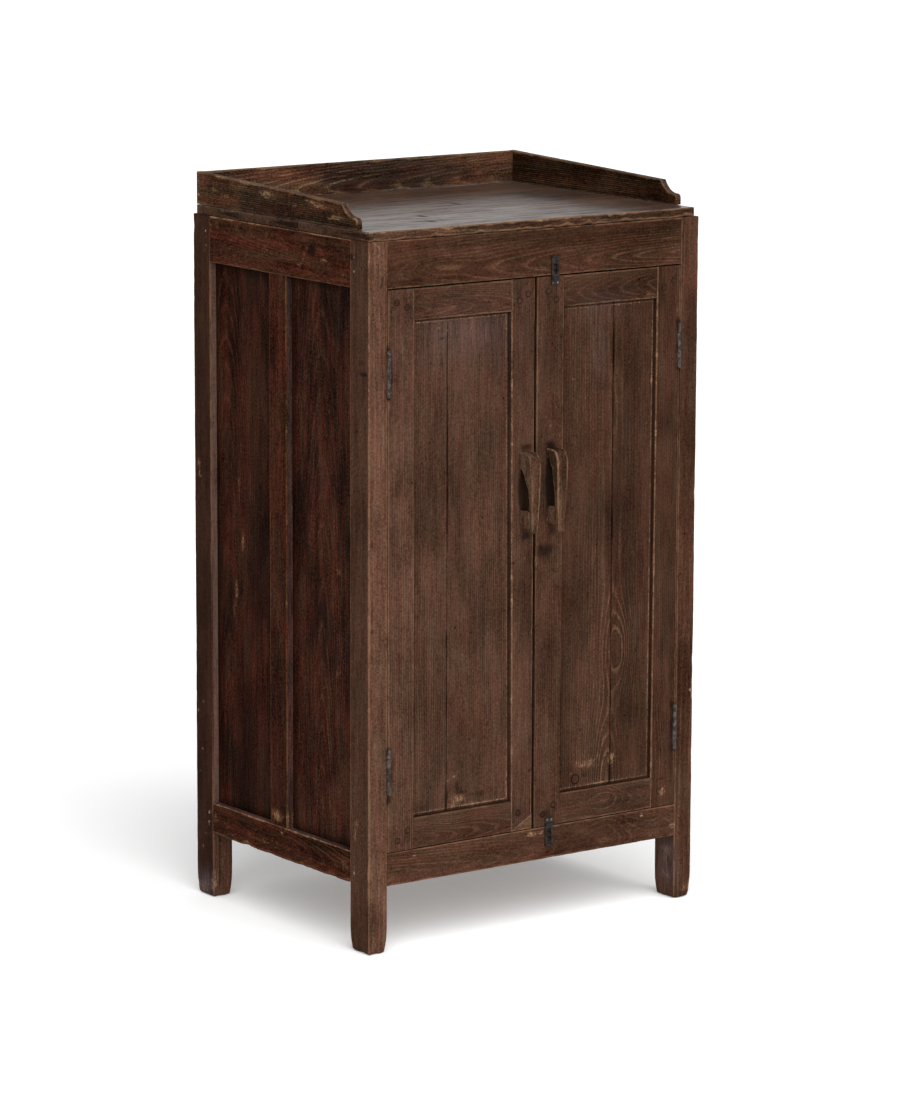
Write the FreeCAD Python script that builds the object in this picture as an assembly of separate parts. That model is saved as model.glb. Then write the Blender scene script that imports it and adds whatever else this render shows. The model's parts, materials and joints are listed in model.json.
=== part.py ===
"""Two-door panelled cupboard on four legs, with a low gallery round its top.

All lengths are in millimetres. X runs across the front from the left, Y runs from the
front to the rear and Z runs up. The pieces are drawn with Y counted from the front faces
of the legs, and are moved at the end so that the origin is the bottom centre of the box
round the closed cupboard.
"""
import FreeCAD
import Part
import os

os.makedirs("parts", exist_ok=True)
Vector = FreeCAD.Vector

# Driving dimensions of the carcase
body_width = 686.0
body_depth = 522.0
leg_height = 1192.0
front_leg_width = 38.0
front_leg_depth = 54.0
rear_leg_width = 40.0
rear_leg_depth = 52.0
foot_height = 114.0
bottom_rail_height = 56.0
top_rail_height = 79.0
rail_thickness = 28.0
tenon_thickness = 10.0
tenon_length = 24.0
tenon_shoulder = 10.0
groove_depth = 8.0

# Side and back panels
side_panel_recess = 12.0
side_panel_thickness = 6.0
muntin_front = 240.0
muntin_width = 51.0
back_board_recess = 12.0
back_board_thickness = 9.0
back_board_count = 4
board_gap = 0.4

# Top planks and gallery
top_thickness = 16.5
top_left_inset = 1.5
top_right_inset = 9.5
top_rear_inset = 9.0
top_seam_shares = (0.0, 0.405, 0.75, 1.0)
gallery_thickness = 12.5
gallery_front_setback = 37.5
gallery_rear_height = 56.0
gallery_housing_depth = 3.0
gallery_front_height = 40.5
ogee_length = 42.0
ogee_shares = ((0.0, 0.20), (0.06, 0.42), (0.24, 0.53), (0.60, 0.69), (0.88, 0.96), (1.0, 1.0))

# Floor, shelf and the cleats under them
inner_board_thickness = 15.0
inner_board_count = 3
floor_stop_gap = 0.6
shelf_height = 640.0
shelf_setback = 44.0
cleat_width = 22.0
cleat_height = 22.0
fit_clearance = 0.4

# Small nails of the carcase
nail_radius = 1.6
nail_head_radius = 2.6
nail_head_height = 1.2
nail_length = 26.0
rail_nail_shares = (0.36, 0.66)
gallery_nail_shares = (0.3, 0.72)
gallery_nail_length = 38.0

# Doors
door_thickness = 22.0
door_side_gap = 0.8
door_top_gap = 2.0
door_bottom_gap = 1.2
meeting_gap = 5.0
meeting_line_offset = -3.0
door_rail_height = 53.0
door_panel_recess = 6.5
door_panel_thickness = 9.0
door_tenon_thickness = 8.0
door_tenon_length = 42.0
proud_board_step = 1.2
peg_radius = 5.0
peg_proud = 0.4
plug_radius = 8.0
plug_side_offset = 36.5
plug_rise = 18.0
patch_width = 44.5
patch_height = 26.0
patch_thickness = 6.0

# Widths of the stiles at their top and bottom ends, which are not quite parallel
left_hinge_stile_widths = (53.0, 53.0)
left_meeting_stile_widths = (48.5, 43.0)
right_hinge_stile_widths = (50.0, 53.0)
right_meeting_stile_widths = (56.0, 56.0)
left_seam_share = 0.351
right_seam_share = 0.443

# Places of the door pegs: shares of the stile's width from the door's edge, and of the
# rail's height from the rail's lower edge
left_peg_shares = {
    "hinge_top": ((0.334, 0.604), (0.715, 0.434)),
    "meeting_top": ((0.65, 0.32), (0.29, 0.51)),
    "hinge_bottom": ((0.758, 0.62), (0.381, 0.336)),
    "meeting_bottom": ((0.666, 0.58),),
}
right_peg_shares = {
    "hinge_top": ((0.70, 0.33), (0.284, 0.53)),
    "meeting_top": ((0.42, 0.547), (0.723, 0.264)),
    "hinge_bottom": ((0.638, 0.506),),
    "meeting_bottom": ((0.33, 0.392), (0.723, 0.657)),
}

# Butt hinges
hinge_height = 76.0
upper_hinge_drop = 100.0
lower_hinge_rise = 98.8
knuckle_radius = 3.8
knuckle_count = 5
knuckle_gap = 0.3
hinge_pin_radius = 1.9
pin_clearance = 0.05
pin_head_radius = 3.2
pin_head_height = 1.8
hinge_proud = 0.6
left_hinge_inset = 1.8
right_hinge_inset = 3.0
barrel_clearance = 0.35
leaf_thickness = 1.6
leaf_width = 19.0
screw_radius = 1.9
screw_head_radius = 3.4
screw_length = 14.0
screw_share = 0.34
screw_depth_share = 0.62

# Carved grips
grip_projection = 31.0
left_grip_width = 22.5
left_grip_height = 139.0
left_grip_bottom = 685.0
left_grip_offset = 30.5
right_grip_width = 23.2
right_grip_height = 144.5
right_grip_bottom = 681.0
right_grip_offset = 20.9
block_width = 17.5
left_block_rise = 6.0
left_block_height = 31.0
right_block_rise = 13.6
right_block_height = 30.0
block_reach_share = 0.8
block_side_share = 0.05

# Side outlines of the grips: shares of the projection and of the height
left_grip_outer_shares = ((0.0, 0.99), (0.52, 0.985), (0.87, 0.945), (1.0, 0.84), (0.96, 0.0))
left_grip_inner_shares = ((0.66, 0.0), (0.70, 0.317), (0.44, 0.676), (0.27, 0.745), (0.0, 0.777))
right_grip_outer_shares = ((0.0, 0.99), (0.50, 0.985), (0.86, 0.95), (1.0, 0.85), (0.96, 0.0))
right_grip_inner_shares = ((0.64, 0.0), (0.68, 0.30), (0.53, 0.70), (0.36, 0.80), (0.0, 0.875))
# Front outlines of the grips: shares of the width and of the height
left_grip_front_shares = ((0.0, 1.0), (0.0, 0.72), (0.2, 0.54), (0.17, 0.29), (0.27, 0.0),
                          (0.8, 0.0), (0.93, 0.29), (1.0, 0.58), (0.98, 0.9), (0.9, 1.0))
right_grip_front_shares = ((0.0, 1.0), (0.0, 0.76), (0.06, 0.57), (0.09, 0.3), (0.24, 0.0),
                           (0.74, 0.0), (0.88, 0.3), (1.0, 0.57), (1.0, 0.88), (0.9, 1.0))

# Hasps: a plate on the door, a slotted strap on its barrel, and a staple on the rail
hasp_width = 16.0
hasp_plate_height = 9.5
hasp_plate_thickness = 1.6
hasp_barrel_radius = 2.1
hasp_pin_radius = 1.1
hasp_barrel_proud = 2.6
hasp_middle_knuckle = 6.0
hasp_knuckle_gap = 0.3
hasp_barrel_drop = 2.8
strap_thickness = 1.6
strap_wood_gap = 0.8
strap_length = 37.5
slot_start = 6.5
slot_end = 29.5
slot_width = 6.5
lip_radius = 1.8
staple_wire_radius = 1.5
staple_spacing = 10.0
staple_centre = 17.5
staple_projection = 13.0
staple_depth = 16.0
hasp_nail_radius = 1.2
hasp_nail_head_radius = 2.0
hasp_nail_head_height = 0.8
hasp_nail_spacing = 9.0
hasp_nail_length = 15.0
upper_hasp_offset = 36.0
lower_hasp_offset = 31.0

half_width = body_width / 2
bottom_rail_z = (foot_height, foot_height + bottom_rail_height)
top_rail_z = (leg_height - top_rail_height, leg_height)
rear_leg_front = body_depth - rear_leg_depth
door_z = (bottom_rail_z[1] + door_bottom_gap, top_rail_z[0] - door_top_gap)
top_z = (leg_height, leg_height + top_thickness)
top_x = (top_left_inset - half_width, half_width - top_right_inset)
top_rear = body_depth - top_rear_inset
gallery_foot = top_z[1] - gallery_housing_depth
hinge_bottoms = (door_z[0] + lower_hinge_rise, door_z[1] - upper_hinge_drop - hinge_height)
hinge_axis_y = -hinge_proud


def box(x_range, y_range, z_range):
    """Return a box between two limits on each axis."""
    corner = Vector(x_range[0], y_range[0], z_range[0])
    sizes = [limits[1] - limits[0] for limits in (x_range, y_range, z_range)]
    return Part.makeBox(sizes[0], sizes[1], sizes[2], corner)


def rod(radius, length, start, direction):
    """Return a round rod from a start point along a direction."""
    return Part.makeCylinder(radius, length, start, direction)


def prism(points, sweep):
    """Return the solid swept by a closed polygon."""
    return Part.Face(Part.makePolygon(points + points[:1])).extrude(sweep)


def fused(solids):
    """Return one clean solid from several that overlap or touch."""
    result = solids[0].fuse(solids[1:]) if len(solids) > 1 else solids[0]
    return result.removeSplitter()


def cut(solid, tools):
    """Return a solid less the tools that reach it."""
    near = [tool for tool in tools if solid.BoundBox.intersect(tool.BoundBox)]
    return solid.cut(near) if near else solid


def middle(limits, size):
    """Return limits of a size centred between other limits."""
    centre = (limits[0] + limits[1]) / 2
    return (centre - size / 2, centre + size / 2)


def inset(limits, margin):
    """Return limits drawn in at both ends."""
    return (limits[0] + margin, limits[1] - margin)


def flipped(solid):
    """Return a solid reflected from the left half to the right half."""
    return solid.mirror(Vector(0, 0, 0), Vector(1, 0, 0))


def split(limits, count):
    """Return equal stretches of the limits with a board gap between neighbours."""
    step = (limits[1] - limits[0] + board_gap) / count
    return [(limits[0] + step * turn, limits[0] + step * (turn + 1) - board_gap) for turn in range(count)]


def nail(start, direction, length):
    """Return a flat-headed nail whose head is flush at its start."""
    head = rod(nail_head_radius, nail_head_height, start, direction)
    return fused([rod(nail_radius, length, start, direction), head])


def long_rail(along, across, z_range, axis):
    """Return a rail with a tenon at each end, running along X or Y."""
    tenon_across = middle(across, tenon_thickness)
    tenon_along = (along[0] - tenon_length, along[1] + tenon_length)
    tenon_z = inset(z_range, tenon_shoulder)
    if axis == "x":
        return fused([box(along, across, z_range), box(tenon_along, tenon_across, tenon_z)])
    return fused([box(across, along, z_range), box(tenon_across, tenon_along, tenon_z)])


def left_side():
    """Return the left side's rails, muntin and panels, before they are cut for each other."""
    rail_x = (-half_width, rail_thickness - half_width)
    rail_y = (front_leg_depth, rear_leg_front)
    panel_x = (side_panel_recess - half_width, side_panel_recess + side_panel_thickness - half_width)
    open_z = (bottom_rail_z[1], top_rail_z[0])
    muntin_y = (muntin_front, muntin_front + muntin_width)
    tongue_z = inset(open_z, -groove_depth)
    stub = box(middle(rail_x, tenon_thickness), inset(muntin_y, tenon_shoulder), tongue_z)
    return {
        "top_rail": long_rail(rail_y, rail_x, top_rail_z, "y"),
        "bottom_rail": long_rail(rail_y, rail_x, bottom_rail_z, "y"),
        "muntin": fused([box(rail_x, muntin_y, open_z), stub]),
        "front_panel": box(panel_x, inset((rail_y[0], muntin_y[0]), -groove_depth), tongue_z),
        "rear_panel": box(panel_x, inset((muntin_y[1], rail_y[1]), -groove_depth), tongue_z),
    }


def side_nails():
    """Return the nails that pin the left side rails' tenons, driven in from outside."""
    nails = []
    for y in (front_leg_depth - tenon_length / 2, rear_leg_front + tenon_length / 2):
        for limits in (bottom_rail_z, top_rail_z):
            for share in rail_nail_shares:
                z = limits[0] + share * (limits[1] - limits[0])
                nails.append(nail(Vector(-half_width, y, z), Vector(1, 0, 0), nail_length))
    return nails


def legs():
    """Return the four plain legs by name."""
    front_x = (-half_width, front_leg_width - half_width)
    rear_x = (-half_width, rear_leg_width - half_width)
    front = box(front_x, (0, front_leg_depth), (0, leg_height))
    rear = box(rear_x, (rear_leg_front, body_depth), (0, leg_height))
    return {"leg_front_left": front, "leg_front_right": flipped(front),
            "leg_rear_left": rear, "leg_rear_right": flipped(rear)}


def back():
    """Return the back's rails and its upright boards."""
    rail_x = (rear_leg_width - half_width, half_width - rear_leg_width)
    rail_y = (body_depth - rail_thickness, body_depth)
    rear_face = body_depth - back_board_recess
    board_y = (rear_face - back_board_thickness, rear_face)
    board_z = inset((bottom_rail_z[1], top_rail_z[0]), -groove_depth)
    boards = [box(limits, board_y, board_z) for limits in split(inset(rail_x, -groove_depth), back_board_count)]
    return {"back_top_rail": long_rail(rail_x, rail_y, top_rail_z, "x"),
            "back_bottom_rail": long_rail(rail_x, rail_y, bottom_rail_z, "x")}, boards


def top_boards(gallery_boards):
    """Return the three planks of the top, front plank first, housed for the gallery's feet."""
    housings = []
    for board in gallery_boards:
        limits = board.BoundBox
        housings.append(box(inset((limits.XMin, limits.XMax), -fit_clearance),
                            inset((limits.YMin, limits.YMax), -fit_clearance), (gallery_foot, top_z[1])))
    planks = []
    for start_share, end_share in zip(top_seam_shares[:-1], top_seam_shares[1:]):
        y_range = (start_share * top_rear, end_share * top_rear - board_gap)
        planks.append(cut(box(top_x, y_range, top_z), housings))
    return planks


def gallery_side(x_range):
    """Return one gallery side: a rising top edge and an ogee at its front end."""
    base = top_z[1]
    rear = top_rear - board_gap
    points = [Vector(x_range[0], gallery_front_setback + ogee_length * along, base + gallery_front_height * up)
              for along, up in ogee_shares]
    foot = Vector(x_range[0], gallery_front_setback, gallery_foot)
    heel = Vector(x_range[0], rear, gallery_foot)
    crown = Vector(x_range[0], rear, base + gallery_rear_height)
    nose = Part.Arc(points[0], points[1], points[2]).toShape()
    hollow = Part.Arc(points[2], points[3], points[4]).toShape()
    straights = [(foot, points[0]), (points[4], points[5]), (points[5], crown), (crown, heel), (heel, foot)]
    lines = [Part.makeLine(start, end) for start, end in straights]
    outline = Part.Wire([lines[0], nose, hollow] + lines[1:])
    return Part.Face(outline).extrude(Vector(x_range[1] - x_range[0], 0, 0))


def gallery():
    """Return the gallery's boards and the nails through its rear corners."""
    left_x = (top_x[0], top_x[0] + gallery_thickness)
    right_x = (top_x[1] - gallery_thickness, top_x[1])
    rear = top_rear - board_gap
    back_y = (rear - gallery_thickness, rear)
    back_z = (gallery_foot, top_z[1] + gallery_rear_height - board_gap)
    boards = {"gallery_left": gallery_side(left_x), "gallery_right": gallery_side(right_x),
              "gallery_back": box((left_x[1], right_x[0]), back_y, back_z)}
    nails = []
    for x, direction in ((left_x[0], Vector(1, 0, 0)), (right_x[1], Vector(-1, 0, 0))):
        for share in gallery_nail_shares:
            start = Vector(x, (back_y[0] + back_y[1]) / 2, top_z[1] + share * gallery_rear_height)
            nails.append(nail(start, direction, gallery_nail_length))
    return boards, nails


def inner_boards(bottom, front, posts):
    """Return loose boards across the inside, notched round the legs."""
    x_range = inset((-half_width, half_width), rail_thickness + fit_clearance)
    y_range = (front, body_depth - rail_thickness - fit_clearance)
    z_range = (bottom, bottom + inner_board_thickness)
    notches = []
    for post in posts:
        limits = post.BoundBox
        notches.append(box(inset((limits.XMin, limits.XMax), -fit_clearance),
                           inset((limits.YMin, limits.YMax), -fit_clearance), z_range))
    return [cut(box(x_range, limits, z_range), notches) for limits in split(y_range, inner_board_count)]


def cleats(top, posts):
    """Return the pair of cleats whose tops carry the boards at a height."""
    y_range = inset((0, body_depth), rail_thickness)
    left_x = (rail_thickness - half_width, rail_thickness + cleat_width - half_width)
    left = cut(box(left_x, y_range, (top - cleat_height, top)), posts)
    return [left, flipped(left)]


def stile(edge, widths, direction):
    """Return a stile whose width changes evenly from its top to its bottom."""
    inner_top = edge + direction * widths[0]
    inner_bottom = edge + direction * widths[1]
    points = [Vector(edge, 0, door_z[0]), Vector(inner_bottom, 0, door_z[0]),
              Vector(inner_top, 0, door_z[1]), Vector(edge, 0, door_z[1])]
    return prism(points, Vector(0, door_thickness, 0))


def door_frame(width, hinge_widths, meeting_widths, seam_share, front_step, peg_shares):
    """Return one door's wooden pieces, drawn from its hinge edge at zero along +X."""
    hinge_stile = stile(0, hinge_widths, 1)
    meeting_stile = stile(width, meeting_widths, -1)
    between = (min(hinge_widths), width - min(meeting_widths))
    tenon_x = (max(hinge_widths) - door_tenon_length, width - max(meeting_widths) + door_tenon_length)
    tenon_y = middle((0, door_thickness), door_tenon_thickness)
    rail_z = {"bottom": (door_z[0], door_z[0] + door_rail_height),
              "top": (door_z[1] - door_rail_height, door_z[1])}
    rails = {}
    for place, limits in rail_z.items():
        body = cut(box(between, (0, door_thickness), limits), [hinge_stile, meeting_stile])
        rails[place] = fused([body, box(tenon_x, tenon_y, inset(limits, tenon_shoulder))])
    seam = between[0] + seam_share * (between[1] - between[0])
    panel_z = (rail_z["bottom"][1] - groove_depth, rail_z["top"][0] + groove_depth)
    panel_x = inset((max(hinge_widths), width - max(meeting_widths)), -groove_depth)
    outer_y = (door_panel_recess - front_step, door_panel_recess - front_step + door_panel_thickness)
    inner_y = (door_panel_recess, door_panel_recess + door_panel_thickness)
    boards = [box((panel_x[0], seam), outer_y, panel_z),
              box((seam + board_gap, panel_x[1]), inner_y, panel_z)]
    pegs = []
    for name, shares in peg_shares.items():
        stile_name, place = name.split("_")
        limits = rail_z[place]
        end = 0 if place == "top" else 1
        for width_share, height_share in shares:
            if stile_name == "hinge":
                x = width_share * hinge_widths[end]
            else:
                x = width - width_share * meeting_widths[end]
            z = limits[0] + height_share * door_rail_height
            start = Vector(x, -peg_proud, z)
            pegs.append(rod(peg_radius, door_thickness + peg_proud, start, Vector(0, 1, 0)))
    return {"hinge_stile": hinge_stile, "meeting_stile": meeting_stile, "top_rail": rails["top"],
            "bottom_rail": rails["bottom"], "outer_panel_board": boards[0],
            "inner_panel_board": boards[1]}, pegs


def knuckle_spans(bottom):
    """Return the heights of a hinge's knuckles, bottom knuckle first."""
    step = (hinge_height + knuckle_gap) / knuckle_count
    return [(bottom + step * turn, bottom + step * (turn + 1) - knuckle_gap) for turn in range(knuckle_count)]


def leaf(x_range, y_end, bottom, axis_x, own, other):
    """Return a leaf with its own knuckles, clear of the other leaf's."""
    up = Vector(0, 0, 1)
    pieces = [box(x_range, (hinge_axis_y, y_end), (bottom, bottom + hinge_height))]
    for low, high in own:
        pieces.append(rod(knuckle_radius, high - low, Vector(axis_x, hinge_axis_y, low), up))
    tools = [rod(hinge_pin_radius + pin_clearance, hinge_height, Vector(axis_x, hinge_axis_y, bottom), up)]
    for low, high in other:
        start = Vector(axis_x, hinge_axis_y, low - knuckle_gap)
        tools.append(rod(knuckle_radius + barrel_clearance, high - low + 2 * knuckle_gap, start, up))
    return fused(pieces).cut(tools)


def leaf_screws(face_x, direction, bottom):
    """Return a leaf's three countersunk screws, driven from the face of the leaf."""
    screws = []
    for turn in (-1, 0, 1):
        z = bottom + hinge_height / 2 + turn * screw_share * hinge_height
        start = Vector(face_x, screw_depth_share * leaf_width, z)
        along = Vector(direction, 0, 0)
        head = Part.makeCone(screw_head_radius, screw_radius, leaf_thickness, start, along)
        screws.append(fused([rod(screw_radius, screw_length, start, along), head]))
    return screws


def hinge(bottom, axis_x):
    """Return one hinge's pieces in the door's own frame, with the leg face at minus the gap."""
    spans = knuckle_spans(bottom)
    frame_spans = spans[0::2]
    door_spans = spans[1::2]
    leg_face = -door_side_gap
    up = Vector(0, 0, 1)
    start = Vector(axis_x, hinge_axis_y, bottom)
    head = rod(pin_head_radius, pin_head_height, start + up * hinge_height, up)
    clearance = rod(knuckle_radius + barrel_clearance, hinge_height + 2 * barrel_clearance,
                    start - up * barrel_clearance, up)
    return {
        "frame_leaf": leaf((leg_face - leaf_thickness, leg_face), leaf_width, bottom, axis_x,
                           frame_spans, door_spans),
        "door_leaf": leaf((0, leaf_thickness), leaf_width, bottom, axis_x, door_spans, frame_spans),
        "pin": fused([rod(hinge_pin_radius, hinge_height, start, up), head]),
        "clearance": fused([clearance, rod(pin_head_radius + barrel_clearance,
                                           pin_head_height + barrel_clearance,
                                           start + up * hinge_height, up)]),
        "frame_screws": leaf_screws(leg_face, -1, bottom),
        "door_screws": leaf_screws(0, 1, bottom),
    }


def grip(left, bottom, width, height, outer, inner, front):
    """Return a carved grip: its side outline crossed with its front outline."""
    def side(shares):
        return Vector(left, -grip_projection * shares[0], bottom + height * shares[1])

    out = [side(shares) for shares in outer]
    back_edge = [side(shares) for shares in inner]
    shoulder = Part.Arc(out[1], out[2], out[3]).toShape()
    throat = Part.Arc(back_edge[2], back_edge[3], back_edge[4]).toShape()
    runs = [(out[0], out[1]), (out[3], out[4]), (out[4], back_edge[0]), (back_edge[0], back_edge[1]),
            (back_edge[1], back_edge[2]), (back_edge[4], out[0])]
    lines = [Part.makeLine(start, end) for start, end in runs]
    outline = Part.Wire([lines[0], shoulder] + lines[1:5] + [throat, lines[5]])
    slab = Part.Face(outline).extrude(Vector(width, 0, 0))
    points = [Vector(left + width * across, -grip_projection, bottom + height * up) for across, up in front]
    return slab.common(prism(points, Vector(0, grip_projection, 0)))


def grip_block(left, bottom, height, carved):
    """Return the block that holds a grip's lower end off the door."""
    reach = block_reach_share * grip_projection
    left += block_side_share * block_width
    return box((left, left + block_width), (-reach, 0), (bottom, bottom + height)).cut(carved)


def hasp(centre_x, pivot_z, direction):
    """Return a hasp's plate, strap, staple and nails, its strap running up or down from its barrel."""
    def heights(start, end):
        return tuple(sorted((pivot_z + direction * start, pivot_z + direction * end)))

    across = Vector(1, 0, 0)
    whole_x = middle((centre_x, centre_x), hasp_width)
    middle_x = middle((centre_x, centre_x), hasp_middle_knuckle)
    gap_x = inset(middle_x, -hasp_knuckle_gap)
    pivot = Vector(0, -hasp_barrel_proud, pivot_z)

    def barrel(radius, x_range):
        return rod(radius, x_range[1] - x_range[0], pivot + across * x_range[0], across)

    plate_z = heights(0, -hasp_plate_height - hasp_barrel_radius)
    plate = fused([box(whole_x, (-hasp_plate_thickness, 0), plate_z), barrel(hasp_barrel_radius, whole_x)])
    room = barrel(hasp_barrel_radius + hasp_knuckle_gap, gap_x)
    plate = fused([plate.cut(room), barrel(hasp_pin_radius, whole_x)])
    strap_y = (-strap_wood_gap - strap_thickness, -strap_wood_gap)
    lip_start = Vector(whole_x[0], strap_y[0], pivot_z + direction * (strap_length - lip_radius))
    strap = fused([box(whole_x, strap_y, heights(hasp_barrel_radius + hasp_knuckle_gap, strap_length)),
                   box(middle_x, strap_y, heights(0, slot_start)),
                   barrel(hasp_barrel_radius, middle_x),
                   rod(lip_radius, hasp_width, lip_start, across)])
    wood = box(inset(whole_x, -lip_radius), (-strap_wood_gap, lip_radius), heights(-lip_radius, strap_length))
    bore = barrel(hasp_pin_radius + pin_clearance, whole_x)
    slot = box(middle((centre_x, centre_x), slot_width), (-strap_wood_gap - hasp_barrel_proud, 0),
               heights(slot_start, slot_end))
    strap = fused([strap.cut([wood, slot]), barrel(hasp_barrel_radius, middle_x)]).cut(bore)
    staple = staple_loop(centre_x, pivot_z + direction * staple_centre)
    nails = []
    for turn in (-1, 1):
        nail_z = sum(plate_z) / 2 - direction * hasp_barrel_radius
        start = Vector(centre_x + turn * hasp_nail_spacing / 2, -hasp_plate_thickness, nail_z)
        head = rod(hasp_nail_head_radius, hasp_nail_head_height, start, Vector(0, -1, 0))
        nails.append(fused([rod(hasp_nail_radius, hasp_nail_length, start, Vector(0, 1, 0)), head]))
    return {"plate": plate, "strap": strap, "staple": staple, "nails": nails}


def staple_loop(centre_x, centre_z):
    """Return a wire staple: two legs in the rail joined by a round crown in front of it."""
    bend = staple_spacing / 2
    crown_y = staple_wire_radius + bend - staple_projection
    low = Vector(centre_x, staple_depth, centre_z - bend)
    high = Vector(centre_x, staple_depth, centre_z + bend)
    reach = staple_depth - crown_y
    legs_pair = [rod(staple_wire_radius, reach, start, Vector(0, -1, 0)) for start in (low, high)]
    ring = Part.makeTorus(bend, staple_wire_radius, Vector(centre_x, crown_y, centre_z), Vector(1, 0, 0))
    front_half = box(middle((centre_x, centre_x), 2 * staple_spacing),
                     (crown_y - staple_spacing, crown_y),
                     middle((centre_z, centre_z), 2 * staple_spacing))
    return fused(legs_pair + [ring.common(front_half)])


def build():
    """Return every node's list of solids, by node name."""
    nodes = {}
    posts = legs()
    plain_posts = list(posts.values())

    left = left_side()
    left_nails = side_nails()
    panels = [left["front_panel"], left["rear_panel"]]
    for name in ("top_rail", "bottom_rail"):
        left[name] = cut(left[name], panels + [left["muntin"]] + left_nails)
    left["muntin"] = cut(left["muntin"], panels)
    right = {name: flipped(solid) for name, solid in left.items()}
    nails = left_nails + [flipped(solid) for solid in left_nails]
    for side, pieces in (("left", left), ("right", right)):
        for name, solid in pieces.items():
            nodes[side + "_" + name] = [solid]

    front_x = (front_leg_width - half_width, half_width - front_leg_width)
    frieze = long_rail(front_x, (0, rail_thickness), top_rail_z, "x")
    front_bottom = long_rail(front_x, (0, rail_thickness), bottom_rail_z, "x")
    back_rails, back_boards = back()
    back_rails = {name: cut(solid, back_boards) for name, solid in back_rails.items()}
    nodes["back_boards"] = back_boards
    for name, solid in back_rails.items():
        nodes[name] = [solid]

    boards, gallery_nails = gallery()
    planks = top_boards(list(boards.values()))
    for name, plank in zip(("top_front_board", "top_middle_board", "top_rear_board"), planks):
        nodes[name] = [plank]
    for name, solid in boards.items():
        nodes[name] = [cut(solid, gallery_nails)]
    nodes["frame_nails"] = nails + gallery_nails

    floor_height = bottom_rail_z[1]
    nodes["floor_boards"] = inner_boards(floor_height, door_thickness + floor_stop_gap, plain_posts)
    nodes["shelf_boards"] = inner_boards(shelf_height, shelf_setback, plain_posts)
    nodes["board_cleats"] = cleats(floor_height, plain_posts) + cleats(shelf_height, plain_posts)

    leg_tools = list(left.values()) + list(right.values()) + [frieze, front_bottom] + back_boards
    leg_tools += list(back_rails.values()) + nails

    meeting = {"left": meeting_line_offset - meeting_gap / 2, "right": meeting_line_offset + meeting_gap / 2}
    hinge_edge = half_width - front_leg_width - door_side_gap
    plans = {
        "left": (left_hinge_stile_widths, left_meeting_stile_widths, left_seam_share, 0,
                 left_peg_shares, left_hinge_inset),
        "right": (right_hinge_stile_widths, right_meeting_stile_widths, right_seam_share, proud_board_step,
                  right_peg_shares, right_hinge_inset),
    }
    nodes["hinge_frame_leaves"] = []
    nodes["hinge_pins"] = []
    nodes["hinge_frame_screws"] = []
    doors = {}
    for side, (hinge_widths, meeting_widths, seam_share, front_step, peg_shares, axis_inset) in plans.items():
        def placed(solid):
            """Move a solid from the door's own frame to its place in the cupboard."""
            if side == "left":
                return solid.translated(Vector(-hinge_edge, 0, 0))
            return flipped(solid).translated(Vector(hinge_edge, 0, 0))

        width = meeting["left"] + hinge_edge if side == "left" else hinge_edge - meeting["right"]
        pieces, pegs = door_frame(width, hinge_widths, meeting_widths, seam_share, front_step, peg_shares)
        if side == "right":
            plug_start = Vector(width - max(meeting_widths) - plug_side_offset, door_panel_recess,
                                door_z[0] + door_rail_height + plug_rise)
            pegs.append(rod(plug_radius, door_panel_thickness, plug_start, Vector(0, 1, 0)))
        fittings = [hinge(bottom, axis_inset - door_side_gap) for bottom in hinge_bottoms]
        door = {name: placed(solid) for name, solid in pieces.items()}
        door["pegs"] = [placed(solid) for solid in pegs]
        door["hinge_leaves"] = [placed(item["door_leaf"]) for item in fittings]
        door["screws"] = [placed(solid) for item in fittings for solid in item["door_screws"]]
        door["clearance"] = [placed(item["clearance"]) for item in fittings]
        nodes["hinge_frame_leaves"] += [placed(item["frame_leaf"]) for item in fittings]
        nodes["hinge_pins"] += [placed(item["pin"]) for item in fittings]
        nodes["hinge_frame_screws"] += [placed(solid) for item in fittings for solid in item["frame_screws"]]
        leg_tools += door["clearance"]
        doors[side] = door

    nodes["hinge_frame_leaves"] = [cut(solid, nodes["hinge_frame_screws"])
                                   for solid in nodes["hinge_frame_leaves"]]
    leg_tools += nodes["hinge_frame_leaves"] + nodes["hinge_frame_screws"]

    left_grip_x = meeting["left"] - left_grip_offset
    right_grip_x = meeting["right"] + right_grip_offset
    grips = {
        "left": grip(left_grip_x, left_grip_bottom, left_grip_width, left_grip_height,
                     left_grip_outer_shares, left_grip_inner_shares, left_grip_front_shares),
        "right": grip(right_grip_x, right_grip_bottom, right_grip_width, right_grip_height,
                      right_grip_outer_shares, right_grip_inner_shares, right_grip_front_shares),
    }
    blocks = {
        "left": grip_block(left_grip_x, left_grip_bottom + left_block_rise, left_block_height, grips["left"]),
        "right": grip_block(right_grip_x, right_grip_bottom + right_block_rise, right_block_height,
                            grips["right"]),
    }

    hasps = {
        "upper": hasp(meeting["right"] + upper_hasp_offset, door_z[1] - hasp_barrel_drop, 1),
        "lower": hasp(meeting["right"] + lower_hasp_offset, door_z[0] + hasp_barrel_drop, -1),
    }
    nodes["hasp_plates"] = [cut(item["plate"], item["nails"]) for item in hasps.values()]
    nodes["hasp_staples"] = [item["staple"] for item in hasps.values()]
    for place, item in hasps.items():
        nodes[place + "_hasp_strap"] = [item["strap"]]
        doors["right"]["screws"] += item["nails"]

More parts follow.
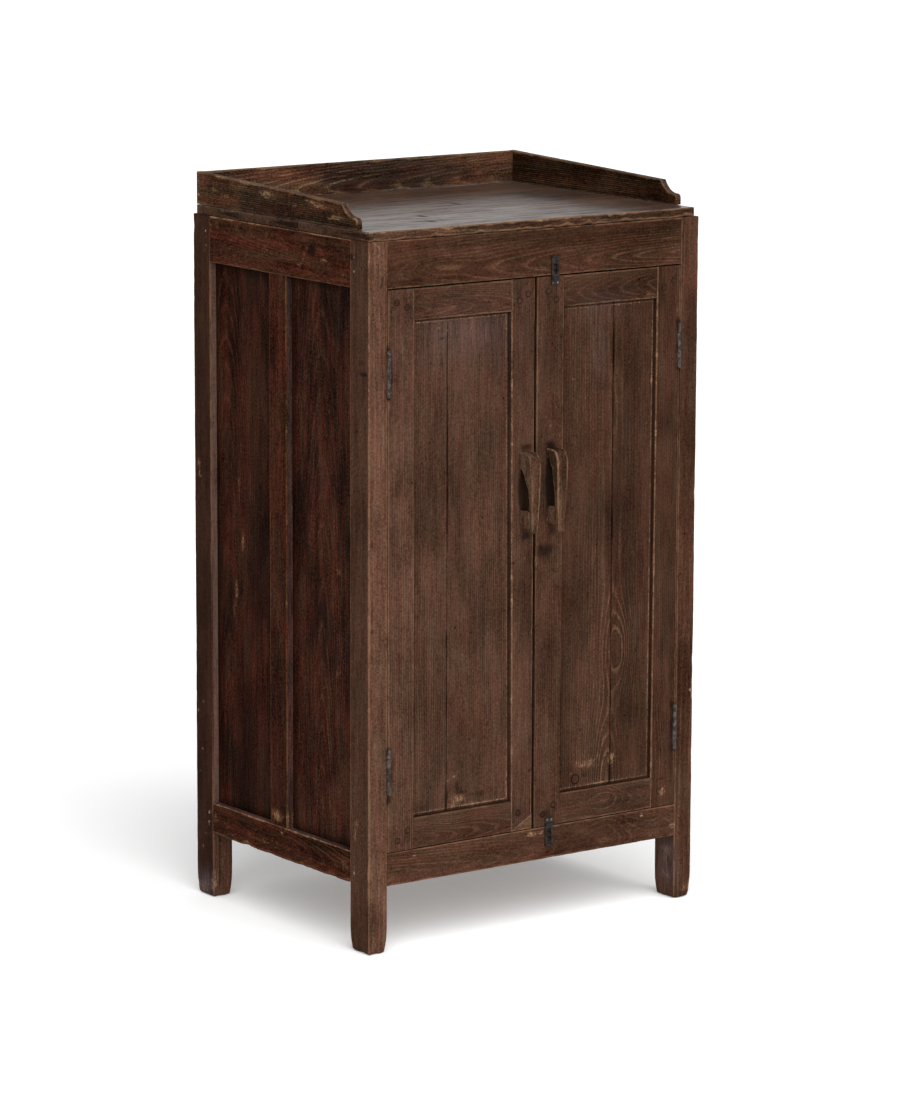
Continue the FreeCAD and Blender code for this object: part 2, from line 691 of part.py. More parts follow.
    corner = Vector(meeting["left"], 0, door_z[0])
    patch = prism([corner, corner + Vector(0, 0, patch_height), corner - Vector(patch_width, 0, 0)],
                  Vector(0, patch_thickness, 0))
    for side, door in doors.items():
        panel_boards = [door["outer_panel_board"], door["inner_panel_board"]]
        repairs = [patch] if side == "left" else []
        loose = door["pegs"] + door["screws"]
        for name in ("outer_panel_board", "inner_panel_board"):
            door[name] = cut(door[name], door["pegs"])
        for name in ("top_rail", "bottom_rail"):
            door[name] = cut(door[name], panel_boards + repairs + loose)
        tools = panel_boards + repairs + loose + door["hinge_leaves"] + door["clearance"]
        tools += [door["top_rail"], door["bottom_rail"]]
        for name in ("hinge_stile", "meeting_stile"):
            door[name] = cut(door[name], tools)
        door["hinge_leaves"] = [cut(solid, door["screws"]) for solid in door["hinge_leaves"]]
        door["handle_grip"] = grips[side]
        door["handle_block"] = blocks[side]
        if side == "left":
            door["repair_patch"] = patch
        del door["clearance"]
        for name, solid in door.items():
            nodes[side + "_door_" + name] = solid if isinstance(solid, list) else [solid]

    nodes["frieze_rail"] = [cut(frieze, nodes["hasp_staples"])]
    nodes["front_bottom_rail"] = [cut(front_bottom, nodes["hasp_staples"])]
    for name, post in posts.items():
        nodes[name] = [cut(post, leg_tools)]
    groove_x = (side_panel_recess - half_width, side_panel_recess + side_panel_thickness - half_width)
    run_out = box(groove_x, (rear_leg_front, rear_leg_front + groove_depth), (0, bottom_rail_z[1]))
    run_out = run_out.cut(left["bottom_rail"])
    nodes["leg_rear_left"] = [cut(nodes["leg_rear_left"][0], [run_out])]
    return nodes


def export(nodes):
    """Move every node to the part's own frame and write one file for each."""
    shift = Vector(0, (grip_projection - body_depth) / 2, 0)
    for name, solids in sorted(nodes.items()):
        flat = [solid for shape in solids for solid in shape.Solids]
        shape = flat[0] if len(flat) == 1 else Part.makeCompound(flat)
        shape = shape.translated(shift)
        shape.exportStep(os.path.join("parts", name + ".step"))
        print(f"{name:28s} solids {len(flat):2d}  volume {shape.Volume:12.1f}  valid {shape.isValid()}")


export(build())
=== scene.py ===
"""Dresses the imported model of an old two-door panelled cupboard and sets up its studio.

Every wooden piece gets a worn surface, worked out with numpy over the place that the frame
gives it. The small iron and steel pieces keep the frame's shapes and get new finishes.
All lengths are in metres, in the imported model's own frame: X to the right as seen from the
front, Y from the front to the rear, Z up, with the floor at zero.
"""

import json
import logging
from dataclasses import dataclass, field
from enum import Enum
from typing import Protocol

import bpy
import numpy as np
from mathutils import Matrix, Vector
from numpy.typing import NDArray


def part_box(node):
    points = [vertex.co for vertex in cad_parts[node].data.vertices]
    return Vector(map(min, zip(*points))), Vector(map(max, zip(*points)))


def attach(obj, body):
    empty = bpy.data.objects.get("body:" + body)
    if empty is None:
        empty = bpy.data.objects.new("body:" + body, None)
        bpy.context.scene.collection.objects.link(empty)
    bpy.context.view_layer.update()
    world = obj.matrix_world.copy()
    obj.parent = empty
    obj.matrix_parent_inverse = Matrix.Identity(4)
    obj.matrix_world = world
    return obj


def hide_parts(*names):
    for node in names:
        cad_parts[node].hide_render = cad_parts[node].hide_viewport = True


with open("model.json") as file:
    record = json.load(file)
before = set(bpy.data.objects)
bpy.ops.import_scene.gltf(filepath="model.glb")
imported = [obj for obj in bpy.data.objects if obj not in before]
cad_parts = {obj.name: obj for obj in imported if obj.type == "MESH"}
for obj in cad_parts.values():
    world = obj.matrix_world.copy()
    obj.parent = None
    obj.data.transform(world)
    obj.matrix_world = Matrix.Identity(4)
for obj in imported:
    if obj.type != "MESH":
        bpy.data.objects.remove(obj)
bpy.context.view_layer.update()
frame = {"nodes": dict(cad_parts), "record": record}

Floats = NDArray[np.float64]
Values = dict[str, Floats]
Span = tuple[float, float]
Outlines = dict[str, tuple[Span, ...]]
Corner = tuple[float, float, float]
Colour = Corner
Four = tuple[float, float, float, float]
Socket = bpy.types.NodeSocket
logger = logging.getLogger("cupboard")

SKIN = 0.00015  # how far a surface stays inside the frame's box
CELL = 0.006  # the widest step along a piece
CROSS_CELL = 0.0038  # the widest step round its section
NEAR_ARRIS = (0.002, 0.005, 0.010, 0.018)  # closer steps, from both ends of a run
ARC_STEPS = 3  # the steps in a rounded corner
CAP_SHARES = (0.7, 0.35)  # the rings that close an end, as shares of its section
FRONT_BAND = 0.002  # points this close behind a front belong to its face
FAR_FROM_ARRIS = 0.02  # stands for a place that no worn arris reaches
FAR_FROM_NOOKS = 1.0  # stands for a place that no darkened corner, with its dirt and painted shade, reaches
FIGURE_CLEARS = 35.0  # how much clearer the rings' lines are, for each metre that a mark turns them
GRIP_RINGS = 90
PEG_SIDES = 28
THIN = 3.6  # the height of a spot that gives none, in millimetres
CLEAN = (0.0, 0.0, 0.0, 0.0)

# Noise that runs with the grain: grains for each metre along and across it, detail, roughness.
GRAIN_NOISES: dict[str, Four] = {
    "slow": (2.6, 13.0, 2.0, 0.5),
    "quick": (15.0, 75.0, 3.0, 0.5),
    "zones": (2.2, 9.0, 2.0, 0.5),
    "dashes": (60.0, 330.0, 2.0, 0.5),
    "patches": (4.5, 14.0, 4.0, 0.6),
    "streaks": (4.5, 80.0, 4.0, 0.62),
    "hues": (9.0, 60.0, 3.0, 0.6),
    "fibres": (22.0, 260.0, 4.0, 0.68),
    "grit": (260.0, 300.0, 3.0, 0.7),
    "specks": (110.0, 330.0, 2.0, 0.5),
    "ragged": (60.0, 210.0, 4.0, 0.68),
    "broken": (38.0, 120.0, 3.0, 0.6),
    "scuffs": (85.0, 430.0, 3.0, 0.62),
    "polish": (9.0, 90.0, 6.0, 0.78),
}


class Axis(Enum):
    """The axis that a piece of timber runs along."""

    X = 0
    Y = 1
    Z = 2


class Figure(Enum):
    """How a board was sawn from its log, which sets the figure on its face."""

    FLAT = "flat"
    RIFT = "rift"


class Trace(Enum):
    """What a mark puts on the wood, which may be wear, dirt with painted shade, pale dust with a painted
    sheen, or a turn of the rings; a figure mark pushes the rings aside, in metres.
    """

    WEAR = "wear"
    GRIME = "grime"
    BLOOM = "bloom"
    FIGURE = "ring"


def linear(colour: Colour) -> Colour:
    """Turn screen values from 0 to 255 into linear light: a power of 2.4 above a short straight toe."""
    screen = np.array(colour) / 255.0
    return tuple(np.where(screen <= 0.04045, screen / 12.92, ((screen + 0.055) / 1.055) ** 2.4).tolist())


def ripple(seed: int, coordinates: tuple[Floats, ...], longest: float, shortest: float,
           waves: int = 7) -> Floats:
    """Work out smooth unevenness: sines of ever shorter waves in chance directions, added up.

    Args:
        seed: picks the directions and phases.
        coordinates: the arrays that the waves run over.
        longest, shortest: the first and last wavelength.
        waves: how many sines are added.

    Returns:
        Values between 0 and 1, mostly near a half.
    """
    chance = np.random.default_rng(seed)
    total = np.zeros(np.broadcast_shapes(*[np.shape(values) for values in coordinates]))
    weight = 0.0
    for wave in range(waves):
        length = longest * (shortest / longest) ** (wave / max(1, waves - 1))
        direction = chance.normal(size=len(coordinates))
        direction /= np.linalg.norm(direction)
        phase = chance.uniform(0.0, 2.0 * np.pi)
        run = sum(values * share for values, share in zip(coordinates, direction))
        height = (length / longest) ** 0.4
        total = total + height * np.sin(2.0 * np.pi * run / length + phase)
        weight += height
    return 0.5 + 0.5 * total / weight


def bell(distance: Floats, reach: float) -> Floats:
    """Return a bell: one at no distance, falling with its square over the reach."""
    return np.exp(-((distance / reach) ** 2))


def places(length: float, cell: float) -> Floats:
    """Spread points along a straight run: a few close to both ends, the rest evenly.

    Args:
        length: the run's length.
        cell: the widest step in the middle.

    Returns:
        Rising places from zero to the length.
    """
    close = np.array([step for step in NEAR_ARRIS if step < 0.3 * length])
    first = close[-1] if len(close) else 0.0
    count = max(1, int(np.ceil((length - 2.0 * first) / cell)))
    middle = np.linspace(first, length - first, count + 1)
    return np.unique(np.round(np.concatenate([[0.0], close, middle, length - close, [length]]), 7))


@dataclass
class Surface:
    """A closed surface: its points, its faces and the values kept at its points.

    Attributes:
        points: one row of three coordinates for each point.
        quads, triangles: faces as rows of point numbers.
        values: arrays with one entry, or one row of three, for each point.
    """

    points: Floats
    quads: NDArray[np.int64]
    triangles: NDArray[np.int64]
    values: Values

    def to_object(self, name: str, material: bpy.types.Material) -> bpy.types.Object:
        """Make the Blender object, with its place in its mesh.

        Args:
            name: the piece's name.
            material: the finish of all its faces.

        Returns:
            The new object, linked to the scene.
        """
        mesh = bpy.data.meshes.new(name)
        mesh.from_pydata(self.points.tolist(), [], self.quads.tolist() + self.triangles.tolist())
        for key, array in self.values.items():
            kind, slot = ("FLOAT_VECTOR", "vector") if array.ndim == 2 else ("FLOAT", "value")
            layer = mesh.attributes.new(key, kind, "POINT")
            layer.data.foreach_set(slot, array.astype(np.float32).ravel())
        mesh.polygons.foreach_set("use_smooth", np.ones(len(mesh.polygons), dtype=bool))
        mesh.materials.append(material)
        mesh.update()
        return linked(name, mesh)


def linked(name: str, data: bpy.types.ID) -> bpy.types.Object:
    """Make an object of its data and link it to the scene."""
    made = bpy.data.objects.new(name, data)
    bpy.context.scene.collection.objects.link(made)
    return made


def joined(surfaces: list[Surface]) -> Surface:
    """Put several surfaces into one, numbering their points on from each other.

    Args:
        surfaces: the surfaces, which all keep the same values.

    Returns:
        One surface with all their islands.
    """
    starts = np.cumsum([0] + [len(item.points) for item in surfaces[:-1]])
    return Surface(
        points=np.concatenate([item.points for item in surfaces]),
        quads=np.concatenate([item.quads + start for item, start in zip(surfaces, starts)]),
        triangles=np.concatenate([item.triangles + start for item, start in zip(surfaces, starts)]),
        values={key: np.concatenate([item.values[key] for item in surfaces]) for key in surfaces[0].values},
    )


def lofted(rings: Floats, values: Values) -> Surface:
    """Join rings of points into a tube and close both ends with a fan to a middle point.

    Args:
        rings: an array of rings by points by three coordinates, each ring turning from the
            first cross axis to the second as the rings go forward.
        values: arrays over the same rings and points.

    Returns:
        The closed surface, facing outwards.
    """
    count, around = rings.shape[:2]
    index = np.arange(count * around).reshape(count, around)
    beside = np.roll(index, -1, axis=1)
    quads = np.stack([index[:-1], beside[:-1], beside[1:], index[1:]], axis=-1).reshape(-1, 4)
    first = np.full(around, count * around)
    fans = [np.stack([first, beside[0], index[0]], axis=-1),
            np.stack([first + 1, index[-1], beside[-1]], axis=-1)]

    def closed(array: Floats) -> Floats:
        """Flatten an array over the grid and add its mean at both end rings."""
        flat = array.reshape((count * around,) + array.shape[2:])
        ends = np.stack([array[0].mean(axis=0), array[-1].mean(axis=0)])
        return np.concatenate([flat, ends])

    return Surface(closed(rings), quads, np.concatenate(fans),
                   {key: closed(item) for key, item in values.items()})


def section_rings(limits: Floats, radii: Floats, cell: float,
                  extra: dict[int, tuple[float, ...]]) -> tuple[Floats, Floats, Floats, NDArray[np.int64]]:
    """Work out rounded rectangles, one for each station along a piece.

    Each ring goes round four quarter circles, whose centres lie one radius in from the
    corners, and the straight sides between them.

    Args:
        limits: for each station the low and high limit on the first and the second cross axis.
        radii: for each station the radius at each of the four corners.
        cell: the widest step along a side.
        extra: by side number, more places along it, as distances from its first corner.

    Returns:
        The points (stations, places, 2), their outward directions (places, 2), their
        distances from the nearest arris (stations, places), and where each place belongs: 0 to
        3 at a corner, 4 to 7 on the side that follows it.
    """
    turn = np.linspace(0.0, np.pi / 2.0, ARC_STEPS + 1)
    corners = ((0, 2, 1, 1), (1, 2, -1, 1), (1, 3, -1, -1), (0, 3, 1, -1))
    arcs, directions = [], []
    for number, (first, second, way_first, way_second) in enumerate(corners):
        angle = np.pi + number * np.pi / 2.0 + turn
        direction = np.stack([np.cos(angle), np.sin(angle)], axis=-1)
        radius = radii[:, number, None]
        middle = np.stack([limits[:, first, None] + way_first * radius,
                           limits[:, second, None] + way_second * radius], axis=-1)
        arcs.append(middle + radius[..., None] * direction[None])
        directions.append(direction)
    points, outward, edges, owners = [], [], [], []
    for number in range(4):
        start = arcs[number][:, -1]
        end = arcs[(number + 1) % 4][:, 0]
        run = np.linalg.norm(end - start, axis=-1)
        length = float(run.max())
        steps = np.union1d(places(length, cell), np.array(extra.get(number, ())))
        shares = steps[(steps > 1e-5) & (steps < length - 1e-5)] / length
        side = start[:, None] + (end - start)[:, None] * shares[None, :, None]
        points += [arcs[number], side]
        outward += [directions[number], np.repeat(directions[number][-1:], len(shares), axis=0)]
        edges += [np.zeros(arcs[number].shape[:2]), np.minimum(shares, 1.0 - shares)[None] * run[:, None]]
        owners += [np.full(len(turn), number), np.full(len(shares), number + 4)]
    joins = ((points, 1), (outward, 0), (edges, 1), (owners, 0))
    return tuple(np.concatenate(parts, axis=axis) for parts, axis in joins)


WEAR, GRIME, BLOOM, FIGURE = Trace
Spot = tuple[float, ...]


@dataclass(frozen=True)
class Mark:
    """One soft-edged mark of wear, of dirt with painted shade, of pale dust with a painted sheen, or one
    local turn of the rings.

    Attributes:
        trace: what it leaves.
        at: its middle.
        reach: how far it goes on each axis.
        strength: its value in the middle; wear above one bares pale fibres.
    """

    trace: Trace
    at: Corner
    reach: Corner
    strength: float

    def amount(self, points: Floats) -> Floats:
        """Return the mark's value at some points: a bell that falls with the distance squared."""
        away = (points - np.array(self.at)) / np.array(self.reach)
        return self.strength * np.exp(-np.sum(away**2, axis=-1))

    def touches(self, low: Floats, high: Floats) -> bool:
        """Tell whether the mark still shows somewhere between two corners."""
        at, reach = np.array(self.at), 2.2 * np.array(self.reach)
        return bool(np.all(at + reach > low) and np.all(at - reach < high))


class Face(Enum):
    """A flat side of the cupboard that marks lie on: the axis across it, and its place in millimetres."""

    FRONT = (1, -245.5)
    PANEL = (1, -239.0)
    SIDE = (0, -343.0)
    SIDE_PANEL = (0, -331.0)
    GALLERY = (0, -340.0)
    INNER_LEG = (0, 304.2)
    TOP = (2, 1208.5)

    def marks(self, trace: Trace, spots: tuple[Spot, ...], depth: float = 9.0) -> list[Mark]:
        """Turn spots on this face into marks.

        Args:
            trace: what they leave.
            spots: for each its place and its reach on the face's two axes, in millimetres,
                and its strength, which is in millimetres too where it turns the rings.
            depth: how far the marks reach across the face, in millimetres.

        Returns:
            The marks.
        """
        axis, level = self.value
        made = []
        for first, second, wide, *tall, strength in spots:
            at, reach = [first, second], [wide, *(tall or [THIN])]
            at.insert(axis, level)
            reach.insert(axis, depth)
            value = 0.001 * strength if trace is Trace.FIGURE else strength
            made.append(Mark(trace, *(tuple(0.001 * part for part in row) for row in (at, reach)), value))
        return made


class Graph:
    """A material under construction: makes shader nodes and links them."""

    def __init__(self, name: str) -> None:
        """Start a material that has its shader and output only."""
        self.material = bpy.data.materials.new(name)
        self.material.use_nodes = True
        self.tree = self.material.node_tree
        self.shader = self.tree.nodes["Principled BSDF"]

    def node(self, kind: str, **options: object) -> bpy.types.Node:
        """Add a node of a kind and set its options."""
        made = self.tree.nodes.new("ShaderNode" + kind)
        for option, value in options.items():
            setattr(made, option, value)
        return made

    def feed(self, socket: Socket, value: object) -> None:
        """Link a socket to another, or set its own value."""
        if isinstance(value, Socket):
            self.tree.links.new(value, socket)
        else:
            socket.default_value = value

    def give(self, name: str, value: object) -> None:
        """Give one of the shader's own sockets a link or a value."""
        self.feed(self.shader.inputs[name], value)

    def kept(self, name: str) -> Socket:
        """Read a number kept at the piece's points."""
        return self.node("Attribute", attribute_name=name).outputs["Fac"]

    def object_place(self) -> Socket:
        """Read the place on the piece in its own coordinates."""
        return self.node("TexCoord").outputs["Object"]

    def math(self, operation: str, *values: object, clamp: bool = False) -> Socket:
        """Work out one step of arithmetic."""
        made = self.node("Math", operation=operation, use_clamp=clamp)
        for socket, value in zip(made.inputs, values):
            self.feed(socket, value)
        return made.outputs[0]

    def stretched(self, vector: object, scale: Corner) -> Socket:
        """Multiply a vector by a scale on each axis."""
        made = self.node("VectorMath", operation="MULTIPLY")
        self.feed(made.inputs[0], vector)
        self.feed(made.inputs[1], scale)
        return made.outputs[0]

    def noise(self, vector: object, scale: Corner, detail: float = 2.0, roughness: float = 0.5) -> Socket:
        """Work out noise whose grains have one over the scale's size on each axis."""
        made = self.node("TexNoise", noise_dimensions="3D")
        self.feed(made.inputs["Vector"], self.stretched(vector, scale))
        for name, value in (("Scale", 1.0), ("Detail", detail), ("Roughness", roughness)):
            made.inputs[name].default_value = value
        return made.outputs["Fac"]

    def chance(self, value: object) -> Socket:
        """Work out a chance number that holds for each whole number."""
        made = self.node("TexWhiteNoise", noise_dimensions="1D")
        self.feed(made.inputs["W"], value)
        return made.outputs["Value"]

    def rise(self, value: object, low: float, high: float) -> Socket:
        """Rise smoothly from zero at the low value to one at the high one, which may be the lower."""
        made = self.node("MapRange", interpolation_type="SMOOTHSTEP", clamp=True)
        limits = (high, low, 1.0, 0.0) if low > high else (low, high, 0.0, 1.0)
        self.feed(made.inputs["Value"], value)
        for name, limit in zip(("From Min", "From Max", "To Min", "To Max"), limits):
            made.inputs[name].default_value = limit
        return made.outputs["Result"]

    def mixed(self, amount: object, first: object, second: object, blend: str = "MIX") -> Socket:
        """Mix two colours by an amount."""
        made = self.node("Mix", data_type="RGBA", blend_type=blend, clamp_factor=True)
        for name, value in (("Factor_Float", amount), ("A_Color", first), ("B_Color", second)):
            socket = next(item for item in made.inputs if item.identifier == name)
            if isinstance(value, tuple):
                value = (*value, 1.0)
            self.feed(socket, value)
        return next(item for item in made.outputs if item.identifier == "Result_Color")

    def times(self, first: object, second: object, clamp: bool = False) -> Socket:
        """Multiply two numbers."""
        return self.math("MULTIPLY", first, second, clamp=clamp)

    def scaled(self, value: object, factor: object, base: object, clamp: bool = False) -> Socket:
        """Multiply a number by a factor and add a base."""
        return self.math("MULTIPLY_ADD", value, factor, base, clamp=clamp)

    def swung(self, noise: object, factor: object, base: object) -> Socket:
        """Add to a base how far noise lies from its middle, times a factor."""
        return self.scaled(self.math("SUBTRACT", noise, 0.5), factor, base)

    def shaded(self, colour: object, factor: object) -> Socket:
        """Multiply a colour by a number."""
        return self.mixed(1.0, colour, factor, "MULTIPLY")

    def bumped(self, height: object, distance: float, strength: float) -> None:
        """Give the shader a bump from a height between zero and one."""
        made = self.node("Bump")
        self.feed(made.inputs["Height"], height)
        made.inputs["Distance"].default_value = distance
        made.inputs["Strength"].default_value = strength
        self.give("Normal", made.outputs["Normal"])


class WoodGraph(Graph):
    """A wood's material under construction, with the place in its log and on its piece."""

    def __init__(self, name: str) -> None:
        """Start the material and read both places."""
        super().__init__(name)
        self.grain = self.node("Attribute", attribute_name="grain").outputs["Vector"]
        self.place = self.object_place()

    def grained(self, name: str) -> Socket:
        """Work out one of the noises that run with the grain."""
        along, across, detail, roughness = GRAIN_NOISES[name]
        return self.noise(self.grain, (along, across, across), detail, roughness)


@dataclass(frozen=True)
class WoodFinish:
    """Old waxed wood: growth rings, fibres, pits, worn arrises, pale dust with a painted sheen, and settled
    dirt with painted shade.

    Its colours are screen values from 0 to 255.

    Attributes:
        slot: the record's material slot that the finish is for.
        base, deep, pale: the wood between its rings, in its dark patches and on its ring lines.
        worn, fleck, grime, haze: rubbed arrises, bared fibres, settled dirt with painted shade, and pale wax
            and dust with a painted sheen.
        pitch, sway: the distance between rings, and how far they wander.
        rings, fibres, pits, mottle: how strongly each shows.
        arris_wear, arris_strength: how far wear reaches from an arris, and how strong it is.
        roughness, gloss: how matt the wax is, and how much light it mirrors.
        relief: how strongly the grain stands out.
        hues: how far its colour turns from red to olive.
        uneven_gloss: how much the wax's gloss varies.
        corner_shade: how much painted shade darkens it near a panel's edges.
        polish: how strongly the faces that hands and cloths have polished mirror.
    """

    slot: str
    base: Colour
    deep: Colour
    pale: Colour
    worn: Colour
    fleck: Colour = (156, 126, 100)
    grime: Colour = (22, 14, 11)
    pale_dust_and_sheen: Colour = (104, 94, 98)
    pitch: float = 0.0044
    sway: float = 0.009
    rings: float = 1.0
    fibres: float = 0.6
    pits: float = 0.55
    mottle: float = 0.75
    arris_wear: float = 0.0020
    arris_strength: float = 0.35
    roughness: float = 0.46
    gloss: float = 0.008
    relief: float = 0.5
    hues: float = 0.8
    uneven_gloss: float = 0.25
    corner_shade: float = 0.34
    polish: float = 0.0

    def build(self) -> bpy.types.Material:
        """Build the material: the wood's own colour, then its wear, its pale dust with painted sheen and its
        dirt with painted shade, its gloss and its bump.

        Returns:
            The material.
        """
        graph = WoodGraph(self.slot)
        slow, fibre, ragged = (graph.grained(name) for name in ("slow", "fibres", "ragged"))
        clouds = graph.noise(graph.place, (11.0, 11.0, 7.0), 4.0, 0.62)
        line, pit = self.ring_line(graph, slow), self.pit(graph)
        colour = self.grown_colour(graph, line, fibre, clouds, pit)

        rub = graph.swung(ragged, -2.4 * self.arris_wear, graph.kept("edge"))
        rubbed = graph.times(graph.rise(rub, self.arris_wear, 0.0), graph.rise(slow, 0.30, 0.56))
        broken = graph.rise(graph.grained("broken"), 0.36, 0.58)
        broken = graph.scaled(broken, 0.95 * self.arris_strength, 0.4 * self.arris_strength)
        rubbed = graph.times(rubbed, broken)
        scratch = graph.noise(graph.place, (260.0, 260.0, 260.0), 4.0, 0.7)
        wear = graph.scaled(graph.math("ADD", graph.grained("scuffs"), scratch), 3.4, -2.5)
        wear = graph.times(wear, graph.kept("wear"))
        worn = graph.times(graph.rise(wear, 0.35, 1.05), 0.7)
        colour = graph.mixed(graph.math("MAXIMUM", rubbed, worn), colour, linear(self.worn))
        colour = graph.mixed(graph.times(graph.rise(wear, 1.0, 1.7), 0.5), colour, linear(self.fleck))
        # Pale dust in the wax, which also paints a sheen on edges and ledges that face the light.
        pale_dust_and_sheen = graph.times(graph.kept("bloom"), graph.rise(fibre, 0.25, 0.65), clamp=True)
        colour = graph.mixed(pale_dust_and_sheen, colour, linear(self.pale_dust_and_sheen))
        # Settled dirt, and painted shade in gaps, on recess walls and behind the grips.
        dirt = graph.times(graph.rise(graph.swung(ragged, 0.9, graph.kept("grime")), 0.2, 1.0), 0.85)
        # Darkening within 12 mm of a panel's inner corners, which is dirt and painted shade.
        nook = graph.times(graph.rise(graph.kept("nook"), 0.012, 0.0), 0.3)
        dirt = graph.math("MAXIMUM", dirt, nook)
        graph.give("Base Color", graph.mixed(dirt, colour, linear(self.grime)))

        matt = graph.swung(clouds, self.uneven_gloss, self.roughness)
        matt = graph.swung(fibre, self.uneven_gloss, matt)
        matt = graph.scaled(graph.math("MAXIMUM", worn, rubbed), 0.12, matt)
        matt = graph.scaled(dirt, 0.3, graph.scaled(pit, 0.15, matt), clamp=True)
        graph.give("Roughness", matt)
        graph.give("Specular IOR Level", self.gloss)
        if self.polish > 0.0:
            patchy = graph.times(graph.scaled(graph.grained("polish"), 4.6, -1.45), self.polish)
            coat = graph.times(patchy, graph.kept("polish"), clamp=True)
            clean = graph.math("SUBTRACT", 1.0, dirt)
            graph.give("Coat Weight", graph.times(coat, clean))
            graph.give("Coat Roughness", 0.34)
        height = graph.scaled(fibre, 0.5, graph.times(line, 0.35))
        height = graph.scaled(pit, -0.8, height)
        height = graph.scaled(ragged, graph.scaled(worn, 0.6, 0.15), height)
        graph.bumped(height, 0.0006, self.relief)
        return graph.material

    def ring_line(self, graph: WoodGraph, slow: Socket) -> Socket:
        """Draw a thin pale line where each ring starts.

        The wandering ring distance over the pitch, less its whole part, falls from one at the
        line. Each ring has its own strength, and noise breaks the lines into dashes and zones.

        Args:
            graph: the material.
            slow: slow noise along the grain.

        Returns:
            The line's strength, from 0 to 1.
        """
        quick = graph.times(graph.math("SUBTRACT", graph.grained("quick"), 0.5), 0.35 * self.sway)
        wander = graph.swung(slow, self.sway, quick)
        count = graph.math("DIVIDE", graph.math("ADD", graph.kept("ring"), wander), self.pitch)
        share = graph.math("FRACT", count)
        year = graph.chance(graph.math("FLOOR", count))
        line = graph.math("MAXIMUM", graph.rise(share, 0.34, 0.0), graph.rise(share, 0.90, 1.0))
        line = graph.times(line, graph.scaled(year, 0.6, 0.4))
        dashes = graph.rise(graph.grained("dashes"), 0.36, 0.60)
        line = graph.times(line, graph.scaled(dashes, 0.5, 0.5))
        zones = graph.rise(graph.grained("zones"), 0.34, 0.64)
        line = graph.times(line, graph.scaled(zones, 0.75, 0.25))
        return graph.times(line, graph.kept("lines"))

    def pit(self, graph: WoodGraph) -> Socket:
        """Scatter small dark pits: a round spot near the middle of some cells of the wood."""
        cells = graph.node("TexVoronoi", voronoi_dimensions="3D", feature="F1")
        graph.feed(cells.inputs["Vector"], graph.stretched(graph.place, (75.0, 75.0, 52.0)))
        cells.inputs["Scale"].default_value = 1.0
        spot = graph.rise(cells.outputs["Distance"], 0.16, 0.07)
        chosen = graph.node("TexWhiteNoise", noise_dimensions="3D")
        graph.feed(chosen.inputs["Vector"], cells.outputs["Position"])
        return graph.times(spot, graph.rise(chosen.outputs["Value"], 0.62, 0.9))

    def grown_colour(self, graph: WoodGraph, line: Socket, fibre: Socket, clouds: Socket,
                     pit: Socket) -> Socket:
        """Work out the colour of the wood before wear and dirt.

        Patches and clouds darken the base, the ring lines lighten it, and a brightness made of
        fibres, streaks, grit, clouds, pits, the place's tone, which holds painted light and shade
        too, and painted shade near inner corners multiplies it: red by the brightness, green by
        its 1.15th power and blue by its 1.3rd, so that dark places are redder. Noise between
        fibres and streaks in size turns the hue from red to olive.

        Args:
            graph: the material.
            line, fibre, clouds, pit: the patterns.

        Returns:
            The colour.
        """
        patches = graph.times(graph.rise(graph.grained("patches"), 0.40, 0.66), self.mottle)
        deep = linear(self.deep)
        colour = graph.mixed(patches, linear(self.base), deep)
        cloudy = graph.times(graph.rise(clouds, 0.50, 0.72), 0.55 * self.mottle)
        colour = graph.mixed(cloudy, colour, deep)
        colour = graph.mixed(graph.times(line, self.rings), colour, linear(self.pale))
        brightness = graph.swung(fibre, 1.6 * self.fibres, 1.0)
        brightness = graph.swung(graph.grained("streaks"), 1.5 * self.fibres, brightness)
        brightness = graph.swung(clouds, -1.2 * self.mottle, brightness)
        brightness = graph.swung(graph.grained("grit"), 3.0 * self.fibres, brightness)
        specks = graph.rise(graph.grained("specks"), 0.64, 0.76)
        brightness = graph.scaled(specks, 0.4 * self.fibres, brightness)
        brightness = graph.scaled(pit, -self.pits, brightness)
        tone = graph.scaled(graph.kept("tone"), 0.18, 1.0)
        brightness = graph.times(graph.math("MAXIMUM", brightness, 0.15), tone)
        # Painted shade near a panel's inner corners, with a ragged reach.
        corner = graph.rise(graph.scaled(clouds, 0.03, graph.kept("nook")), 0.036, 0.010)
        brightness = graph.times(brightness, graph.scaled(corner, -self.corner_shade, 1.0))
        factors = graph.node("CombineColor")
        for socket, power in zip(factors.inputs, (1.0, 1.15, 1.3)):
            graph.feed(socket, graph.math("POWER", brightness, power))
        colour = graph.shaded(colour, factors.outputs["Color"])
        red = tuple(1.0 + share * self.hues for share in (0.08, -0.06, -0.09))
        olive = tuple(1.0 + share * self.hues for share in (-0.07, 0.02, -0.04))
        return graph.shaded(colour, graph.mixed(graph.rise(graph.grained("hues"), 0.36, 0.64), red, olive))


@dataclass(frozen=True)
class MetalFinish:
    """Old iron or steel with a mottled brown skin; colours in screen values.

    Attributes:
        slot: the record's material slot that the finish is for.
        bare, rust: the metal where it is rubbed and where it has browned.
        metallic: how much of it shines as metal.
        roughness: how matt it is.
    """

    slot: str
    bare: Colour
    rust: Colour
    metallic: float
    roughness: float

    def build(self) -> bpy.types.Material:
        """Build the material: noise in two sizes mixes the rust into the bare metal."""
        graph = Graph(self.slot)
        place = graph.object_place()
        broad = graph.noise(place, (160.0, 160.0, 110.0), 3.0, 0.6)
        fine = graph.noise(place, (900.0, 900.0, 700.0), 2.0)
        rusty = graph.rise(graph.scaled(fine, 0.35, broad), 0.56, 0.76)
        colour = graph.mixed(rusty, linear(self.bare), linear(self.rust))
        graph.give("Base Color", colour)
        graph.give("Roughness", graph.scaled(rusty, 0.25, self.roughness))
        graph.give("Metallic", self.metallic)
        graph.bumped(graph.scaled(fine, 0.5, broad), 0.0003, 0.35)
        return graph.material


